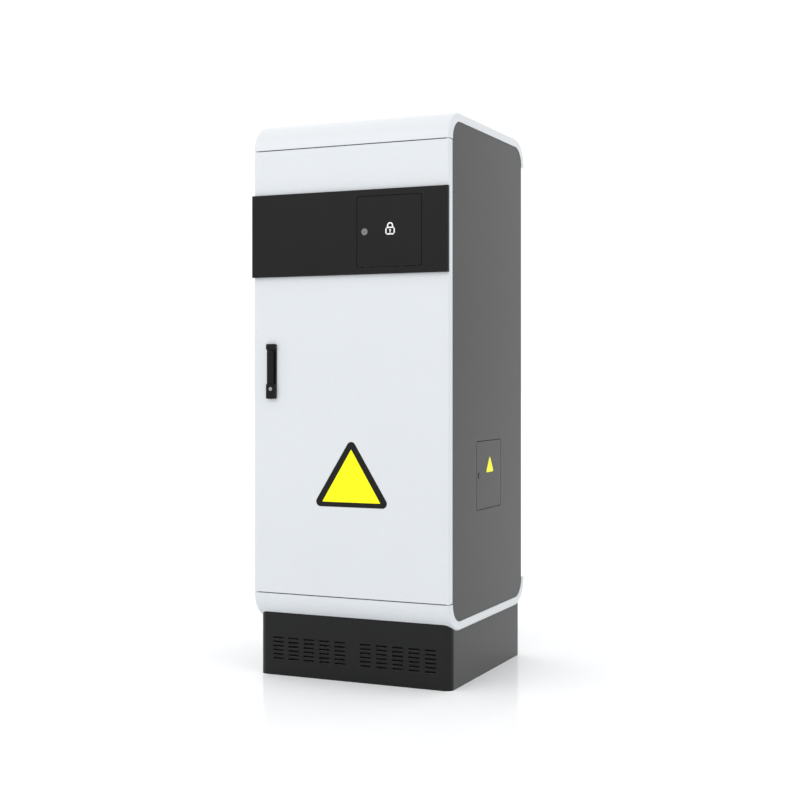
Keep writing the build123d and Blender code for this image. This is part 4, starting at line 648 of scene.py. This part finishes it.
lens = {
    "green": lamp_lens("lens_green", (0.05, 0.75, 0.12)),
    "amber": lamp_lens("lens_amber", (0.95, 0.5, 0.03)),
    "red": lamp_lens("lens_red", (0.85, 0.05, 0.03)),
}
lamp_order = ("red", "amber", "green")
lamp_dome = in_mm([(0, 1.1), (0.9, 0.95), (1.5, 0.5), (1.6, 0)])
lamp_drop = 22 * MM
lamp_pitch = 9 * MM
plug_black = moulding("plug_black", (0.02, 0.02, 0.022), 0.5)
socket_outline = in_mm([(-5, -16), (5, -14), (5, 14), (-5, 16)])
socket_rise = 95 * MM
socket_depth = 5 * MM
socket_edge = 0.6 * MM
inset = 5 * MM
card_step = 5.08 * MM
blank_card = 4
controller = ("controller", (16, 12, 8, 8, 12, 28), 6, 1)
driver = ("driver", 8 * (10,) + (blank_card,), 12, 0)
for rack, cards, lamp_rows, stagger in (controller, driver):
    low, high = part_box(rack + "_modules")
    card_edge = -card_step * sum(cards) / 2
    card_screws = []
    lamps = {hue: [] for hue in lens}
    sockets = []
    for card, steps in enumerate(cards):
        x = card_edge + card_step * steps / 2
        card_edge += card_step * steps
        card_screws += [(x, plate_face, low.z + inset), (x, plate_face, high.z - inset)]
        for row in range(lamp_rows):
            hue = lamp_order[(row + stagger * card) % len(lamp_order)]
            lamps[hue].append((x, plate_face, high.z - lamp_drop - lamp_pitch * row))
        if steps > blank_card:
            sockets.append([(x + across, low.z + socket_rise + up) for across, up in socket_outline])
    screws(f"{rack}_screws", 3 * MM, card_screws, forward)
    for hue, spots in lamps.items():
        domes = turned(lamp_dome, spots, forward, sides=14)
        set_down(f"{rack}_lamps_{hue}", domes, lens[hue], "cabinet")
    shells = stamped(sockets, (0, plate_face, 0), forward, socket_depth, socket_edge)
    set_down(f"{rack}_sockets", shells, plug_black, "cabinet")

# Fans: square moulded frames on an aluminium tray, with a rotor on the pin of each motor base.
# Glass-filled black plastic, a little shinier on the blades.
coat(anodised, "fan_tray")
coat(moulding("fan_frame", (0.016, 0.016, 0.017), 0.5), "fan_frames")
coat(moulding("fan_blade", (0.02, 0.02, 0.021), 0.34), "fan_rotor_left", "fan_rotor_right")
low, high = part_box("fan_frames")
fan_size = 120 * MM
inset = 7.5 * MM
spots = []
for left in (low.x, high.x - fan_size):
    for x in (left + inset, left + fan_size - inset):
        spots += [(x, low.y + inset, high.z), (x, high.y - inset, high.z)]
screws("fan_screws", 3 * MM, spots, upward)

# Mains and terminal devices: moulded bodies that clip on plated DIN rails across the mounting plate.
# Breakers in pale grey with black toggles, a cream surge arrester and grey terminals with their screws.
coat(plated, "din_rails")
coat(moulding("device_grey", (0.52, 0.525, 0.51), 0.42), "main_breaker", "branch_breakers")
toggle_black = moulding("toggle_black", (0.014, 0.014, 0.014), 0.4)
coat(toggle_black, "main_toggle", "branch_toggle_1", "branch_toggle_2")
coat(moulding("arrester_cream", (0.5, 0.46, 0.35), 0.42), "surge_arrester")
coat(moulding("terminal_grey", (0.34, 0.35, 0.355), 0.45), "terminal_strips")
clamp_screw = in_mm([(0, 0.3), (1.2, 0.3), (1.3, 0.9), (2.4, 0.8), (2.7, 0.4), (2.7, 0)])
low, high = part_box("terminal_strips")
terminal_pitch = 10 * MM
strip_terminals = 16
strip_length = strip_terminals * terminal_pitch
ledge = low.y + 12 * MM
inset = 6 * MM
spots = []
for left in (low.x, high.x - strip_length):
    for terminal in range(strip_terminals):
        x = left + (terminal + 0.5) * terminal_pitch
        spots += [(x, ledge, low.z + inset), (x, ledge, high.z - inset)]
clamps = turned(clamp_screw, spots, forward, sides=14)
set_down("terminal_screws", clamps, screw_steel, "cabinet")

pole_width = 18 * MM
ledge_depth = 44 * MM
inset = 10 * MM
spots = []
for device, poles in (("main_breaker", 2), ("branch_breakers", 2), ("surge_arrester", 4)):
    low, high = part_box(device)
    for pole in range(poles):
        x = low.x + pole_width / 2 + (high.x - low.x - pole_width) * pole / (poles - 1)
        spots += [(x, high.y - ledge_depth, z) for z in (low.z + inset, high.z - inset)]
clamps = turned(clamp_screw, spots, forward, sides=14)
set_down("breaker_screws", clamps, screw_steel, "cabinet")

# Earth bar: a drawn brass bar on two standoffs, drilled along its length for the earth wires.
# A button-head screw stands in each hole.
brass = drawn_metal("drawn_brass", (0.68, 0.48, 0.2), 0.3, grain=(14, 500, 500))
coat(brass, "earth_bar")
low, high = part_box("earth_bar")
holes = 12
pitch = (high.x - low.x) / holes
spots = [(low.x + pitch * (hole + 0.5), low.y, (low.z + high.z) / 2) for hole in range(holes)]
screws("earth_screws", 4.2 * MM, spots, forward)

# Cabinet lamp: a slim moulded lamp under the rail over the door, lit only while the door is open.
# Its frosted lens is ribbed across its length, and it is shown unlit.
material, shader, place = new_finish("frosted_lens")
ribs = place.node("TexWave", {"bands_direction": "X"}, {"Vector": place, "Scale": 60.0}, "Fac")
haze = place.node("TexNoise", {}, {"Vector": place, "Scale": 30.0})
frost = haze.between((0.7, 0.71, 0.72), (0.82, 0.83, 0.84))
ribbing = place.node("Bump", {}, {"Strength": 0.4, "Distance": 0.2 * MM, "Height": ribs})
dress(shader, Base_Color=frost, Roughness=0.4 + haze * 0.1, Normal=ribbing)
coat(material, "cabinet_lamp")

# Studio: a plain pale floor that runs out of sight, a white surround and one large soft lamp.
# The camera stands where the photograph was taken, to the right of the door.
floor_reach = 60
floor_mesh = bmesh.new()
bmesh.ops.create_grid(floor_mesh, x_segments=1, y_segments=1, size=floor_reach)
floor_shape = bpy.data.meshes.new("studio_floor")
floor_mesh.to_mesh(floor_shape)
floor_mesh.free()
material, shader, place = new_finish("floor_paper")
haze = place.node("TexNoise", {}, {"Vector": place, "Scale": 0.6, "Detail": 2.0})
dress(shader, Base_Color=haze.between((0.93, 0.94, 0.95), (0.95, 0.96, 0.97)), Roughness=0.7)
dress(shader, Specular_IOR_Level=0.0, Coat_Weight=0.55, Coat_Roughness=0.15)
floor_shape.materials.append(material)
floor = bpy.data.objects.new("studio_floor", floor_shape)
bpy.context.scene.collection.objects.link(floor)

world = bpy.data.worlds.new("white_surround")
bpy.context.scene.world = world
world.use_nodes = True
surround = world.node_tree.nodes["Background"]
way = Finish(surround.outputs[0]).node("TexCoord", {}, {}, "Generated")
height = way.node("SeparateXYZ", {}, {"Vector": way}, "Z")
overhead = height.math("MAXIMUM", height, 0.0)
glow = 1.02 + overhead * 0.3
world.node_tree.links.new(glow.socket, surround.inputs["Strength"])
surround.inputs["Color"].default_value = (1.0, 1.0, 1.0, 1.0)

softbox = bpy.data.lights.new("softbox", "AREA")
softbox.energy = 34
softbox.size = 3.0
softbox_stand = bpy.data.objects.new("softbox", softbox)
softbox_stand.location = (-1.6, -4.2, 3.6)
aim = Vector((0, 0, 0.8)) - softbox_stand.location
softbox_stand.rotation_euler = aim.to_track_quat("-Z", "Y").to_euler()
bpy.context.scene.collection.objects.link(softbox_stand)

camera = bpy.data.cameras.new("camera")
camera.lens = 61.72
camera.shift_x = -0.0352
camera.shift_y = -0.0302
tripod = bpy.data.objects.new("camera", camera)
tripod.location = (1.69716, -3.67673, 0.84783)
tripod.rotation_euler = (math.radians(90), 0, math.radians(23.363))
bpy.context.scene.collection.objects.link(tripod)
bpy.context.scene.camera = tripod
bpy.context.scene.view_settings.view_transform = "Standard"
